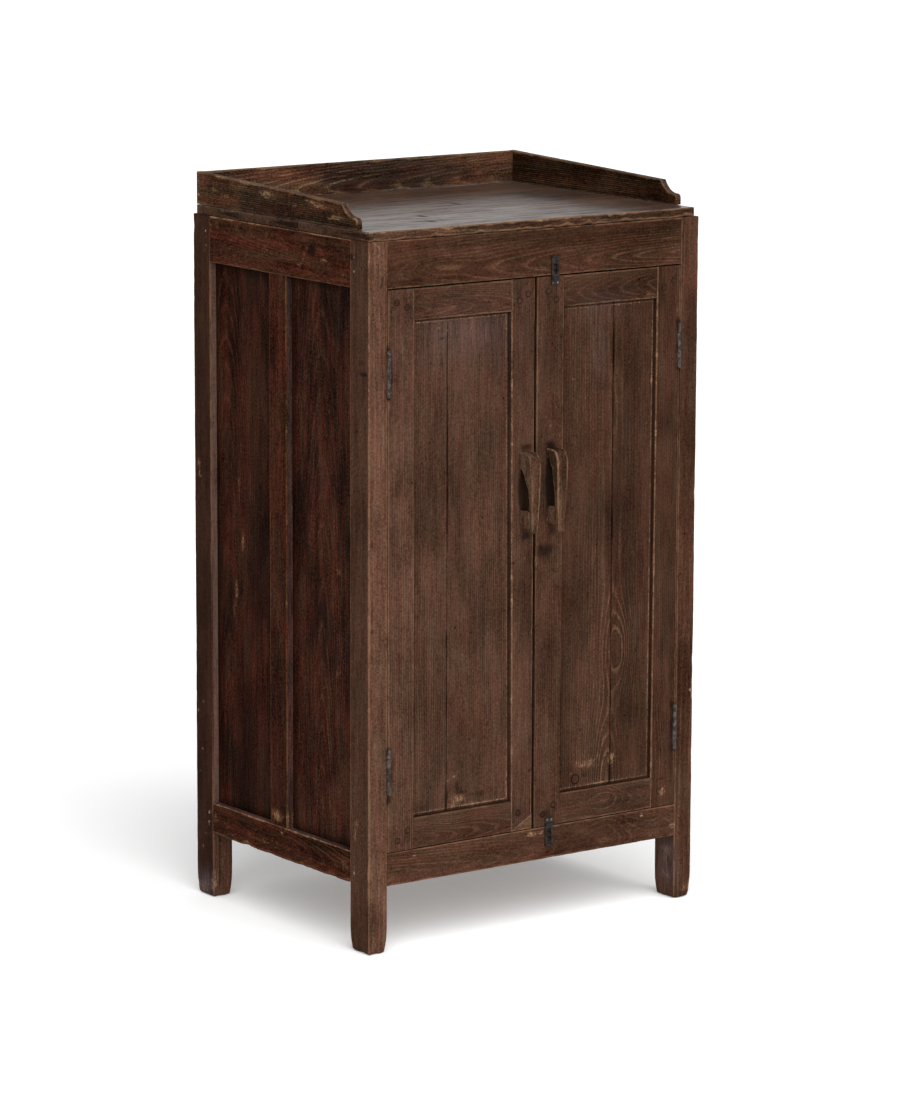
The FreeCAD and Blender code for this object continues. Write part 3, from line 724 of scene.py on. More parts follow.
def wood_finishes() -> dict[str, WoodFinish]:
    """Return the finish of every wooden slot by the slot's name."""
    finishes = (
        WoodFinish("frame_wood", (74, 51, 40), (54, 35, 26), (116, 87, 67), (124, 92, 70), fibres=0.72),
        WoodFinish("side_wood", (52, 27, 18), (33, 17, 11), (88, 57, 40), (108, 74, 50), hues=2.0,
                   mottle=0.85, fibres=1.35, rings=0.9, gloss=0.004),
        WoodFinish("side_panel_wood", (51, 28, 20), (29, 15, 12), (78, 50, 37), (96, 66, 46), hues=2.0,
                   mottle=1.1, fibres=1.25, rings=0.9, gloss=0.004),
        WoodFinish("top_wood", (61, 41, 29), (42, 28, 20), (90, 68, 52), (126, 96, 72), roughness=0.45,
                   relief=0.9, uneven_gloss=0.5, fibres=1.1, polish=0.98),
        WoodFinish("gallery_wood", (61, 38, 25), (36, 22, 15), (118, 92, 66), (126, 98, 72), pitch=0.0034,
                   sway=0.007, rings=1.3, fibres=1.25, mottle=1.35, hues=1.6),
        WoodFinish("inside_wood", (104, 80, 62), (84, 62, 48), (128, 102, 80), (146, 118, 94), roughness=0.62,
                   fibres=0.7),
        WoodFinish("door_wood", (66, 45, 35), (47, 31, 24), (112, 84, 66), (124, 92, 70), fibres=0.65),
        WoodFinish("door_panel_wood", (66, 45, 35), (46, 31, 24), (116, 88, 69), (126, 96, 73), fibres=0.65,
                   corner_shade=0.1),
        WoodFinish("handle_wood", (67, 47, 35), (44, 30, 21), (96, 72, 54), (128, 98, 75), arris_wear=0.0020,
                   arris_strength=0.5, fibres=1.0, mottle=1.1),
        WoodFinish("peg_wood", (62, 43, 33), (44, 29, 22), (84, 62, 47), (104, 80, 61), rings=0.2),
        WoodFinish("patch_wood", (78, 55, 42), (58, 39, 30), (108, 82, 62), (130, 100, 77)),
    )
    return {finish.slot: finish for finish in finishes}


def metal_finishes() -> dict[str, MetalFinish]:
    """Return the finish of every metal slot by the slot's name."""
    finishes = (
        MetalFinish("hinge_steel", (76, 64, 58), (27, 19, 15), 0.3, 0.5),
        MetalFinish("screw_steel", (116, 106, 100), (60, 46, 38), 0.8, 0.4),
        MetalFinish("nail_iron", (118, 98, 80), (52, 38, 30), 0.4, 0.5),
        MetalFinish("hasp_iron", (44, 38, 36), (26, 19, 16), 0.6, 0.42),
    )
    return {finish.slot: finish for finish in finishes}


class Shape(Protocol):
    """Anything whose closed surface can be worked out."""

    def surface(self) -> Surface:
        """Return the closed surface with the values at its points."""


@dataclass
class Workshop:
    """What every sub-assembly needs: finished materials and the marks of use.

    Attributes:
        woods, metals: materials by slot name.
        marks: the marks of the whole cupboard.
        tones: by node, how light its wood is beside its neighbours'.
    """

    woods: dict[str, bpy.types.Material]
    metals: dict[str, bpy.types.Material]
    marks: list[Mark]
    tones: dict[str, float]

    def deliver(self, node: str, slot: str, *shapes: Shape, body: str = "root") -> None:
        """Turn shapes into one finished piece of the part, with the marks that touch it.

        Args:
            node: the frame's node that the piece stands for.
            slot: the material slot that it is finished in.
            shapes: the shapes that it is made of.
            body: the body that it moves with.
        """
        surface = joined([shape.surface() for shape in shapes])
        low, high = surface.points.min(axis=0), surface.points.max(axis=0)
        marks = [mark for mark in self.marks if mark.touches(low, high)]
        values = surface.values
        for mark in marks:
            amount = mark.amount(surface.points)
            values[mark.trace.value] += amount
            if mark.trace is Trace.FIGURE:
                values["lines"] += FIGURE_CLEARS * np.abs(amount)
        values["tone"] += self.tones.get(node, 0.0)
        made = surface.to_object(node + "_wood", self.woods[slot])
        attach(made, body)
        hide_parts(node)
        logger.info("%s: %d points and %d marks on %s", made.name, len(surface.points), len(marks), body)


def unmarked(edge: Floats) -> Values:
    """Return a surface's distances from its arrises, with no corner near it and no traces on it."""
    traces = {trace.value: np.zeros(edge.shape) for trace in (WEAR, GRIME, BLOOM)}
    return {**traces, "edge": edge, "nook": np.full(edge.shape, FAR_FROM_NOOKS)}


def grown(points: Floats, axes: tuple[int, int, int], low: tuple[float, ...], high: tuple[float, ...],
          seed: int, figure: Figure, heart: float | None = None) -> Values:
    """Place a piece in its log.

    The ring distance is the distance from the pith: the root of the squares of how far a
    point lies across from it and above it, where the pith tilts along the piece.

    Args:
        points: the surface's points.
        axes: the axes along the grain, across the wide face and through it.
        low, high: the piece's lowest and highest corners.
        seed: picks the pith's place, the tilt and the tone.
        figure: how the piece was sawn.
        heart: where the pith lies across the face, if not by chance.

    Returns:
        The grain coordinates, the ring distance, how clear the rings are and the tone.
    """
    chance = np.random.default_rng(seed)
    middle = (np.array(low) + np.array(high)) / 2.0
    a, b, n = (points[..., axis] - middle[axis] for axis in axes)
    wide = high[axes[1]] - low[axes[1]]
    if figure is Figure.FLAT:
        aside, below = chance.uniform(-0.35, 0.35) * wide, chance.uniform(0.035, 0.06)
        tilt = chance.uniform(0.05, 0.09)
    else:
        aside = chance.choice([-1.0, 1.0]) * chance.uniform(0.10, 0.2)
        below, tilt = chance.uniform(0.02, 0.06), 0.01
    if heart is not None:
        aside, below, tilt = heart - middle[axes[1]], 0.05, 0.006
    away = chance.choice([-1.0, 1.0])
    ring = np.sqrt((b - aside) ** 2 + (n + below + away * tilt * a) ** 2)
    grain = np.stack([a, b, n], axis=-1) + chance.uniform(0.0, 6.0, 3)
    clear = 0.7 if figure is Figure.FLAT else 0.45
    return {"ring": ring, "grain": grain, "lines": np.full(points.shape[:-1], clear),
            "tone": np.full(points.shape[:-1], chance.uniform(-0.4, 0.4))}


@dataclass
class Timber:
    """One straight piece of timber with uneven faces and worn arrises.

    Attributes:
        low, high: its lowest and highest corners.
        along: the axis that it runs along.
        seed: picks its unevenness, its grain and its tone.
        figure: how it was sawn.
        arris: the usual radius of its long arrises.
        arris_shares: by corner, how much rounder than usual; the corners go round from low-low
            in the order of the two cross axes.
        ends: the rounding of its low and its high end.
        uneven: how deep its faces dip.
        chips, chip_depth: how many dents its arrises have, and how deep they go.
        sight: the visible opening's corners, for a panel held in a frame.
        extra: more places round the section, by side.
        rubbed: by corner, how far the arris is worn to bare wood.
        soiled, bloomed: by side, how much dirt with painted shade, and how much pale dust with a
            painted sheen lie on it; side by side they go round from the one between the first two
            corners.
        side_light_and_shade: by side, how much lighter than the rest it is, in tones: painted light, and
            below zero painted shade, for how the light falls on that side.
        stained_and_shaded: by corner, how much dirt with painted shade lies on the arris.
        closeness, clearness: how close its rings lie and how clear they are, beside the usual.
        stops: more stations, as distances from the low end.
    """

    low: Corner
    high: Corner
    along: Axis
    seed: int
    figure: Figure = Figure.RIFT
    arris: float = 0.0011
    arris_shares: Four = (1.0, 1.0, 1.0, 1.0)
    ends: Span = (0.0004, 0.0004)
    uneven: float = 0.00022
    chips: int = 6
    chip_depth: float = 0.0012
    sight: tuple[Corner, Corner] | None = None
    extra: dict[int, tuple[float, ...]] = field(default_factory=dict)
    rubbed: Four = CLEAN
    soiled_and_shaded: Four = CLEAN
    dust_and_sheen_by_side: Four = CLEAN
    side_light_and_shade: Four = CLEAN
    stained_and_shaded: Four = CLEAN
    closeness: float = 1.0
    clearness: float = 1.0
    stops: tuple[float, ...] = ()

    @property
    def cross(self) -> tuple[int, int]:
        """The two cross axes, in the order that makes a right-handed set with the long one."""
        return ((self.along.value + 1) % 3, (self.along.value + 2) % 3)

    def limits(self, along: Floats) -> Floats:
        """Return the section's four limits at places along the piece, from its low end."""
        first, second = self.cross
        sides = (self.low[first] + SKIN, self.high[first] - SKIN, self.low[second] + SKIN,
                 self.high[second] - SKIN)
        return np.repeat(np.array([sides]), len(along), axis=0)

    def stations(self) -> tuple[Floats, Floats]:
        """Spread stations along the piece.

        Returns:
            The places from its low end, and how far the section is drawn in there: at an end
            the two follow a quarter circle.
        """
        length = self.high[self.along.value] - self.low[self.along.value]
        turn = np.linspace(0.0, np.pi / 2.0, ARC_STEPS + 1)
        start, stop = self.ends
        middle = start + places(length - start - stop, CELL)[1:-1]
        middle = np.union1d(middle, np.array(self.stops))
        along = np.concatenate([start * (1.0 - np.cos(turn)), middle,
                                length - stop * (1.0 - np.cos(turn[::-1]))])
        drawn = np.concatenate([start * (1.0 - np.sin(turn)), np.zeros(len(middle)),
                                stop * (1.0 - np.sin(turn[::-1]))])
        return along, drawn

    def dents(self, along: Floats) -> Floats:
        """Work out the chips in each long arris: bells of chance width and depth at chance places.

        Args:
            along: the stations.

        Returns:
            The depths by station and corner, as shares of the deepest chip.
        """
        chance = np.random.default_rng(self.seed + 7)
        columns = []
        for _ in self.arris_shares:
            where = chance.uniform(0.0, along[-1], self.chips)[:, None]
            width = chance.uniform(0.002, 0.011, self.chips)[:, None]
            depth = chance.uniform(0.2, 1.0, self.chips)[:, None]
            columns.append(np.sum(depth * np.exp(-(((along[None] - where) / width) ** 2)), axis=0))
        return np.stack(columns, axis=-1)

    def radii(self, along: Floats, drawn: Floats, limits: Floats, dents: Floats) -> Floats:
        """Work out each corner's radius along the piece.

        Smooth unevenness sways the usual radius, and the chips add to it.

        Args:
            along: the stations.
            drawn: how far the section is drawn in at each.
            limits: the section's limits at each.
            dents: the chips' depths.

        Returns:
            The radii by station and corner.
        """
        room = 0.45 * np.minimum(limits[:, 1] - limits[:, 0], limits[:, 3] - limits[:, 2])
        columns = []
        for corner, share in enumerate(self.arris_shares):
            sway = ripple(self.seed * 11 + corner, (along,), 0.35, 0.012, 9)
            radius = share * (self.arris * (0.35 + 1.3 * sway) + self.chip_depth * dents[:, corner])
            columns.append(np.clip(radius - 0.7 * drawn, 0.0002, np.maximum(room, 0.0002)))
        return np.stack(columns, axis=-1)

    def shaped(self, points: Floats, values: Values) -> Floats:
        """Give special pieces their own changes of shape; plain timber has none."""
        return points

    def surface(self) -> Surface:
        """Work out the closed surface: rounded sections set along the piece, with dips in its faces.

        Returns:
            The surface, with the values at its points.
        """
        along, drawn = self.stations()
        dents = self.dents(along)
        limits = self.limits(along) + drawn[:, None] * np.array([1.0, -1.0, 1.0, -1.0])
        radii = self.radii(along, drawn, limits, dents)
        section, outward, edge, owner = section_rings(limits, radii, CROSS_CELL, self.extra)
        middle = np.stack([limits[:, :2].mean(axis=1), limits[:, 2:].mean(axis=1)], axis=-1)[:, None]
        over = (along[:, None], 2.0 * section[..., 0], 2.0 * section[..., 1])
        dip = self.uneven * ripple(self.seed + 3, over, 0.5, 0.03)
        section = section - outward[None] * dip[..., None]
        shares = [*CAP_SHARES[::-1], 1.0]
        caps = len(CAP_SHARES)
        rows = np.clip(np.arange(-caps, len(along) + caps), 0, len(along) - 1)
        scale = np.concatenate([shares[:-1], np.ones(len(along)), CAP_SHARES])[:, None, None]
        section = middle[rows] + (section[rows] - middle[rows]) * scale
        width = np.minimum(limits[:, 1] - limits[:, 0], limits[:, 3] - limits[:, 2])[rows, None]
        edge = edge[rows] + 0.5 * width * (1.0 - scale[..., 0])
        points = np.empty(section.shape[:2] + (3,))
        first, second = self.cross
        points[..., self.along.value] = self.low[self.along.value] + along[rows, None]
        points[..., first] = section[..., 0]
        points[..., second] = section[..., 1]
        flat = np.zeros(4)
        values = {**self.growth(points), **unmarked(edge), **self.nearness(points, edge)}
        chipped = np.concatenate([np.minimum(dents, 1.0), np.zeros((len(dents), 4))], axis=1)[rows][:, owner]
        values["wear"] = np.concatenate([self.rubbed, flat])[owner] + 0.35 * chipped * (scale[..., 0] == 1.0)
        # By corner and side: dirt with painted shade, pale dust with painted sheen, and painted light and
        # shade added to the tone.
        values["grime"] += np.concatenate([self.stained_and_shaded, self.soiled_and_shaded])[owner]
        values["bloom"] += np.concatenate([flat, self.dust_and_sheen_by_side])[owner]
        values["tone"] += np.concatenate([flat, self.side_light_and_shade])[owner]
        return lofted(self.shaped(points, values), values)

    def growth(self, points: Floats) -> Values:
        """Place the piece in its log; its grain runs along it and across its wider face."""
        first, second = self.cross
        sizes = [self.high[axis] - self.low[axis] for axis in (first, second)]
        wide, thin = (first, second) if sizes[0] >= sizes[1] else (second, first)
        values = grown(points, (self.along.value, wide, thin), self.low, self.high, self.seed, self.figure)
        return {**values, "ring": self.closeness * values["ring"], "lines": self.clearness * values["lines"]}

    def nearness(self, points: Floats, edge: Floats) -> Values:
        """Work out how far points are from the nearest arris and the nearest inner corner.

        Args:
            points: the surface's points.
            edge: their distances from the long arrises.

        Returns:
            The two distances for a panel held in a frame, and nothing for other pieces.
        """
        if self.sight is None:
            return {}
        sizes = np.array(self.high) - np.array(self.low)
        thin = int(np.argmin(sizes))
        spans = [axis for axis in range(3) if axis != thin]
        low, high = (np.array(corner) for corner in self.sight)
        gaps = [np.minimum(points[..., axis] - low[axis], high[axis] - points[..., axis]) for axis in spans]
        return {"edge": np.maximum(edge, FAR_FROM_ARRIS), "nook": np.maximum(np.minimum(*gaps), 0.0)}


@dataclass
class TaperedStile(Timber):
    """A door stile whose inner edge leans.

    Attributes:
        inner_high: whether the leaning edge is the one with the higher X.
        inner_x: that edge's X at the foot and at the head.
    """

    inner_high: bool = True
    inner_x: Span = (0.0, 0.0)

    def limits(self, along: Floats) -> Floats:
        """Return the limits, with the inner edge on a straight line from foot to head."""
        limits = super().limits(along)
        lean = self.inner_x[0] + (self.inner_x[1] - self.inner_x[0]) * along / along[-1]
        limits[:, 1 if self.inner_high else 0] = lean + (-SKIN if self.inner_high else SKIN)
        return limits


@dataclass
class PanelBoard(Timber):
    """A board of a door's panel, bevelled where it goes into the door's frame.

    Attributes:
        edges: X of the opening's left and right edge, each at its foot and its head.
        bevel, gap, sink: how wide the bevelled margin and the strip beside it are, and its depth.
        seam: X of the joint with the next board, where dirt has settled.
        log: picks the grain that both boards share, as though the panel had cracked.
        heart: X of that log's pith, if not by chance.
    """

    edges: tuple[Span, Span] = ((0.0, 0.0), (0.0, 0.0))
    bevel: float = 0.0048
    gap: float = 0.0012
    sink: float = 0.0022
    seam: float = 0.0
    log: int = 0
    heart: float | None = None

    def growth(self, points: Floats) -> Values:
        """Place both boards of the panel in one log."""
        return grown(points, (2, 0, 1), *self.sight, self.log, Figure.RIFT, self.heart)

    def insets(self, points: Floats) -> tuple[Floats, Floats, Floats, Floats]:
        """Return how far points lie inside the opening's left, right, lower and upper edge."""
        foot, head = self.sight[0][2], self.sight[1][2]
        share = (points[..., 2] - foot) / (head - foot)
        left, right = (edge[0] + (edge[1] - edge[0]) * share for edge in self.edges)
        return points[..., 0] - left, right - points[..., 0], points[..., 2] - foot, head - points[..., 2]

    def shaped(self, points: Floats, values: Values) -> Floats:
        """Sink the front's margin on a straight slope, wear its upper edge and fill its foot with dirt;
        a painted shadow darkens its left margin, painted light brightens its right margin, head and
        foot, and dirt with painted shade darkens the slit round it.
        """
        left, right, foot, head = self.insets(points)
        inset = np.minimum.reduce([left, right, foot, head])
        front = points[..., 1] < self.low[1] + FRONT_BAND
        slope = np.clip((self.bevel - inset) / (self.bevel - self.gap), 0.0, 1.0)
        points[..., 1] += front * self.sink * slope
        values["nook"] = 2.5 * np.maximum(inset, 0.0)
        uneven = 0.4 + 1.2 * ripple(self.log, (points[..., 0], points[..., 2]), 0.3, 0.03)
        # Painted shadow along the left margin, painted light along the right margin, head and foot.
        dark = 3.2 * bell(left, 0.0042) + 0.5 * bell(left, 0.02) + 0.6 * bell(right, 0.014)
        light = 2.2 * bell(right - 0.0042, 0.003) + 2.6 * bell(head, 0.006) + 2.4 * bell(foot - 0.002, 0.006)
        values["tone"] += front * uneven * (light - dark)
        crest = np.minimum.reduce([right, foot, head]) - self.bevel
        values["wear"] += 0.85 * front * uneven * bell(crest, 0.0012)
        # A dark line in the slit round the panel: dirt and painted shade.
        slit = np.maximum(np.minimum.reduce([left, right, foot]), 0.0)
        values["grime"] += 0.9 * front * bell(slit, 0.0010)
        along = ripple(self.seed // 2, (points[..., 2],), 0.6, 0.04)
        joint = bell(points[..., 0] - self.seam, 0.0022)
        values["grime"] += 1.1 * front * joint * np.clip(2.2 * along - 0.5, 0.0, 1.0)
        return points


@dataclass
class Plank(Timber):
    """A plank of the top, polished on its upper face."""

    def shaped(self, points: Floats, values: Values) -> Floats:
        """Keep where the plank is polished: from two millimetres below its upper face to one below."""
        values["polish"] = np.clip((points[..., 2] - self.high[2] + 0.002) / 0.001, 0.0, 1.0)
        return points


@dataclass
class Foot(Timber):
    """A leg whose foot is worn round and ragged, with the side panels' groove where it runs out.

    Attributes:
        wear_height, wear_depth: how far up the foot is worn, and how far in at the floor.
        groove, groove_depth, groove_top: the groove's limits on X, its depth and its upper end.
        dust_and_sheen_from: the height above which the leg's pale dust and painted sheen lie.
    """

    wear_height: float = 0.05
    wear_depth: float = 0.0035
    groove: Span | None = None
    groove_depth: float = 0.008
    groove_top: float = 0.0
    dust_and_sheen_from: float = 0.128

    def shaped(self, points: Floats, values: Values) -> Floats:
        """Draw the foot in towards its axis by a share that falls with height squared, and cut the groove."""
        middle = (np.array(self.low) + np.array(self.high))[:2] / 2.0
        height = points[..., 2] - self.low[2]
        share = np.clip(1.0 - height / self.wear_height, 0.0, 1.0) ** 2
        rough = ripple(self.seed + 31, (points[..., 0] * 3.0, points[..., 1] * 3.0, height), 0.09, 0.008, 8)
        inward = (middle - points[..., :2]) / (np.array(self.high) - np.array(self.low))[:2] * 2.0
        points[..., :2] += inward * (share * self.wear_depth * (0.3 + 1.1 * rough))[..., None]
        points[..., 2] += 0.0035 * share**4 * rough * np.clip(np.abs(inward).max(axis=-1) - 0.45, 0.0, 1.0)
        values["bloom"] = values["bloom"] * np.clip((points[..., 2] - self.dust_and_sheen_from) / 0.01, 0.0, 1.0)
        if self.groove is not None:
            front = points[..., 1] < self.low[1] + FRONT_BAND
            inside = (points[..., 0] > self.groove[0]) & (points[..., 0] < self.groove[1])
            points[..., 1] += self.groove_depth * (front & inside & (points[..., 2] < self.groove_top))
        return points


@dataclass
class GallerySide(Timber):
    """A gallery board along Y with a rising top edge and an ogee at its front end.

    Attributes:
        nose: the front end's outline, as Y and Z from its front corner.
        rear_height: the board's height at the rear.
    """

    nose: tuple[Span, ...] = ()
    rear_height: float = 0.056

    def stations(self) -> tuple[Floats, Floats]:
        """Add close stations along the ogee to the usual ones."""
        along, drawn = super().stations()
        reach = self.nose[-1][0]
        close = self.ends[0] + reach * np.linspace(0.02, 1.0, 40) ** 1.3
        everywhere = np.union1d(along, close)
        return everywhere, np.interp(everywhere, along, drawn)

    def limits(self, along: Floats) -> Floats:
        """Return the limits, with the top edge on the outline and then on a straight rise."""
        limits = super().limits(along)
        outline = np.array(self.nose)
        rising = np.interp(along, [self.nose[-1][0], along[-1]], [self.nose[-1][1], self.rear_height])
        top = np.where(along < self.nose[-1][0], np.interp(along, outline[:, 0], outline[:, 1]), rising)
        limits[:, 1] = self.low[2] + top - SKIN
        return limits


Limits = tuple[float | None, float | None, float | None]
FREE = (None, None, None)


def trimmed(node: str, low: Limits = FREE, high: Limits = FREE) -> tuple[Corner, Corner]:
    """Return a node's lowest and highest corners, with tenons and tongues trimmed off.

    Args:
        node: the node's name.
        low, high: new limits where not None.

    Returns:
        The two corners.
    """
    corners = []
    for own, new in zip(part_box(node), (low, high)):
        corners.append(tuple(float(kept if given is None else given) for kept, given in zip(own, new)))
    return tuple(corners)


@dataclass
class RepairPatch(Timber):
    """A three-cornered patch let into a door's lower corner, highest at its right end."""

    def limits(self, along: Floats) -> Floats:
        """Return the limits, with the top edge on a straight slope from nothing to the full height."""
        limits = super().limits(along)
        rise = (self.high[2] - self.low[2]) * np.clip(along / along[-1], 0.03, 1.0)
        limits[:, 3] = self.low[2] + rise
        return limits


def smooth_path(knots: Floats, count: int) -> Floats:
    """Carry a smooth curve through knots.

    Each stretch is a cubic whose slope at a knot is half the step between its neighbours.

    Args:
        knots: the knots, one row each.
        count: how many points to return.

    Returns:
        Points spread evenly over the knots' numbers.
    """
    padded = np.concatenate([2.0 * knots[:1] - knots[1:2], knots, 2.0 * knots[-1:] - knots[-2:-1]])
    place = np.linspace(0.0, len(knots) - 1.0, count)
    start = np.minimum(place.astype(int), len(knots) - 2)
    t = (place - start)[:, None]
    before, first, second, after = (padded[start + step] for step in range(4))
    slope_first, slope_second = 0.5 * (second - before), 0.5 * (after - first)
    return ((2 * t**3 - 3 * t**2 + 1) * first + (t**3 - 2 * t**2 + t) * slope_first
            + (3 * t**2 - 2 * t**3) * second + (t**3 - t**2) * slope_second)


@dataclass
class CarvedGrip:
    """A grip carved from one piece: an arm from the door that turns down into a tapering bar.

    Attributes:
        low, high: its lowest and highest corners.
        outer, inner: matching knots of its side outline, as shares of how far it stands out
            and of its height, from the door to the tip.
        left_edge, right_edge: its front outline, as rising shares of the height and the
            shares of the width that belong to them.
        seed: picks its unevenness and its grain.
        arris, tip_round: the usual radius of its arrises, and the radius at its tip.
        painted_side_light: how much painted light brightens its left side, in tones.
    """

    low: Corner
    high: Corner
    outer: tuple[Span, ...]
    inner: tuple[Span, ...]
    left_edge: tuple[Span, ...]
    right_edge: tuple[Span, ...]
    seed: int
    arris: float = 0.0021
    tip_round: float = 0.0022
    painted_side_light: float = 3.4

    def surface(self) -> Surface:
        """Work out the grip's surface.

        At each station a rounded rectangle runs from the inner outline to the outer one, and
        from the left to the right edge of the front outline at the station's height.

        Returns:
            The closed surface.
        """
        size = np.array(self.high) - np.array(self.low)
        scale = np.array([-size[1], size[2]])
        origin = np.array([self.high[1], self.low[2]])
        outer = origin + smooth_path(np.array(self.outer), GRIP_RINGS) * scale
        inner = origin + smooth_path(np.array(self.inner), GRIP_RINGS) * scale
        middle = 0.5 * (outer + inner)
        height = np.clip((middle[:, 1] - self.low[2]) / size[2], 0.0, 1.0)
        left = self.low[0] + size[0] * np.interp(height, *np.array(self.left_edge).T)
        right = self.low[0] + size[0] * np.interp(height, *np.array(self.right_edge).T)
        deep = np.linalg.norm(outer - inner, axis=1)
        steps = np.linalg.norm(np.diff(middle, axis=0), axis=1)
        run = np.concatenate([[0.0], np.cumsum(steps)])
        past = np.clip(self.tip_round - (run[-1] - run), 0.0, self.tip_round)
        drawn = self.tip_round - np.sqrt(np.maximum(self.tip_round**2 - past**2, 0.0))
        limits = np.stack([drawn, right - left - drawn, drawn, deep - drawn], axis=-1)
        sways = [0.4 + 1.2 * ripple(self.seed + corner, (run,), 0.06, 0.008, 8) for corner in range(4)]
        radii = self.arris * np.stack(sways, axis=-1) * np.array([1.3, 1.3, 1.0, 1.0])
        radii = np.clip(radii, 0.0004, 0.004)
        section, outward, edge, _ = section_rings(limits, radii, 0.003, {})
        over = (run[:, None], 2.0 * section[..., 0], 2.0 * section[..., 1])
        dip = 0.0007 * ripple(self.seed + 9, over, 0.05, 0.008, 9)
        section = section - outward[None] * dip[..., None]
        forward = (outer - inner) / deep[:, None]
        points = np.empty(section.shape[:2] + (3,))
        points[..., 0] = left[:, None] + section[..., 0]
        points[..., 1:] = inner[:, None] + forward[:, None] * section[..., 1:]
        points[..., 1] = np.minimum(points[..., 1], self.high[1])
        values = grown(points, (2, 0, 1), self.low, self.high, self.seed, Figure.RIFT)
        # Painted light on the grip's left side.
        values["tone"] += self.painted_side_light * (outward[None, :, 0] < -0.8)
        return lofted(points, {**values, **unmarked(edge)})


@dataclass
class Peg:
    """A round peg through a door frame, domed by wear, with a dark ring where it meets the frame.

    Attributes:
        middle: X and Z of its axis.
        span: Y of the frame's front and rear faces.
        radius: the peg's radius.
        seed: picks its grain.
    """

    middle: tuple[float, float]
    span: Span
    radius: float
    seed: int

    def surface(self) -> Surface:
        """Turn the peg's profile round its axis.

        Returns:
            The closed surface.
        """
        front, rear = self.span
        shares = np.array([0.25, 0.6, 0.84, 0.93, 0.97, 1.12, 1.12, 0.9, 0.4])
        depths = np.array([-0.00042, -0.00038, -0.00024, -0.00002, 0.00008, 0.00008, 0.004, 0.0, 0.0])
        depths = np.where(np.arange(9) < 7, front + depths, rear)
        dirt = np.array([0.1, 0.1, 0.3, 1.2, 1.4, 1.0, 0.5, 0.0, 0.0])
        turn = np.linspace(0.0, 2.0 * np.pi, PEG_SIDES, endpoint=False)
        radius = self.radius * shares[:, None] * np.ones(PEG_SIDES)
        points = np.stack([self.middle[0] + radius * np.sin(turn),
                           np.repeat(depths[:, None], PEG_SIDES, axis=1),
                           self.middle[1] + radius * np.cos(turn)], axis=-1)
        low = (self.middle[0] - self.radius, front, self.middle[1] - self.radius)
        high = (self.middle[0] + self.radius, rear, self.middle[1] + self.radius)
        values = grown(points, (1, 0, 2), low, high, self.seed, Figure.RIFT)
        traces = unmarked(np.full(radius.shape, FAR_FROM_ARRIS))
        traces["grime"] += dirt[:, None]
        return lofted(points, {**values, **traces})


def tongue(low: Corner, high: Corner, middle: float, seed: int) -> Timber:
    """Return a thin strip let into two neighbouring upright boards, which closes the gap between them.

    Args:
        low, high: the lowest and highest corners of one of the boards.
        middle: X of the gap.
        seed: picks the strip's grain.

    Returns:
        The strip, six millimetres wide and a third as thick as the board.
    """
    third, half = (high[1] - low[1]) / 3.0, 0.003
    left, right = (middle - half, low[1] + third, low[2]), (middle + half, high[1] - third, high[2])
    return Timber(left, right, Axis.Z, seed, arris=0.0003, chips=0)


def rows_of(low: float, high: float, count: int, gap: float) -> list[Span]:
    """Divide a stretch into equal boards with a gap between neighbours."""
    step = (high - low + gap) / count
    return [(low + step * turn, low + step * (turn + 1) - gap) for turn in range(count)]


@dataclass
class Carcase:
    """The four legs and the two rails of the front.

    Attributes:
        groove_inset, groove_width: where the side panels' groove starts, from the leg's outer
            face, and how wide it is.
    """

    workshop: Workshop
    groove_inset: float = 0.012
    groove_width: float = 0.006

    def build(self) -> None:
        """Build the legs, then the frieze rail and the bottom rail between them."""
        # Painted shade darkens the left legs' left faces and painted light brightens the rear left leg's
        # front face, which also carries pale dust with a painted sheen.
        legs = {
            "leg_front_left": {"arris_shares": (1.0, 0.7, 0.8, 0.8), "rubbed": (0.6, 0.3, 0.0, 0.3),
                               "soiled_and_shaded": (0.0, 0.6, 0.2, 0.1), "side_light_and_shade": (0.0, 0.0, 0.0, -2.0)},
            "leg_front_right": {"arris_shares": (0.7, 1.4, 0.8, 0.8), "rubbed": (0.3, 0.4, 0.0, 0.0),
                                "soiled_and_shaded": (0.0, 0.2, 0.2, 0.1)},
            "leg_rear_left": {"arris_shares": (0.9, 0.8, 0.8, 1.2), "soiled_and_shaded": (0.0, 0.2, 0.2, 0.1),
                              "dust_and_sheen_by_side": (0.2, 0.0, 0.0, 0.0), "side_light_and_shade": (3.4, 0.0, 0.0, -1.4)},
            "leg_rear_right": {"arris_shares": (0.8, 0.9, 1.2, 0.8)},
        }
        for seed, (node, looks) in enumerate(legs.items(), start=101):
            low, high = trimmed(node)
            leg = Foot(low, high, Axis.Z, seed, Figure.RIFT, 0.0014, ends=(0.0035, 0.0012), uneven=0.0003,
                       chips=12, **looks)
            if node == "leg_rear_left":
                steps = (self.groove_inset, self.groove_inset + self.groove_width)
                leg.groove = (low[0] + steps[0], low[0] + steps[1])
                leg.groove_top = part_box("left_bottom_rail")[0][2]
                leg.extra = {0: tuple(step - leg.arris + way * 0.0003 for step in steps for way in (-1, 1))}
            self.workshop.deliver(node, "frame_wood", leg)
        inner_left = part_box("leg_front_left")[1][0]
        inner_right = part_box("leg_front_right")[0][0]
        for seed, node in ((111, "frieze_rail"), (112, "front_bottom_rail")):
            low, high = trimmed(node, (inner_left, None, None), (inner_right, None, None))
            corners = (1.1, 0.6, 0.6, 0.7) if node == "front_bottom_rail" else (0.8, 0.6, 0.6, 0.5)
            rail = Timber(low, high, Axis.X, seed, Figure.FLAT, arris_shares=corners, chips=14,
                          rubbed=(0.3, 0.0, 0.0, 0.2))
            self.workshop.deliver(node, "frame_wood", rail)


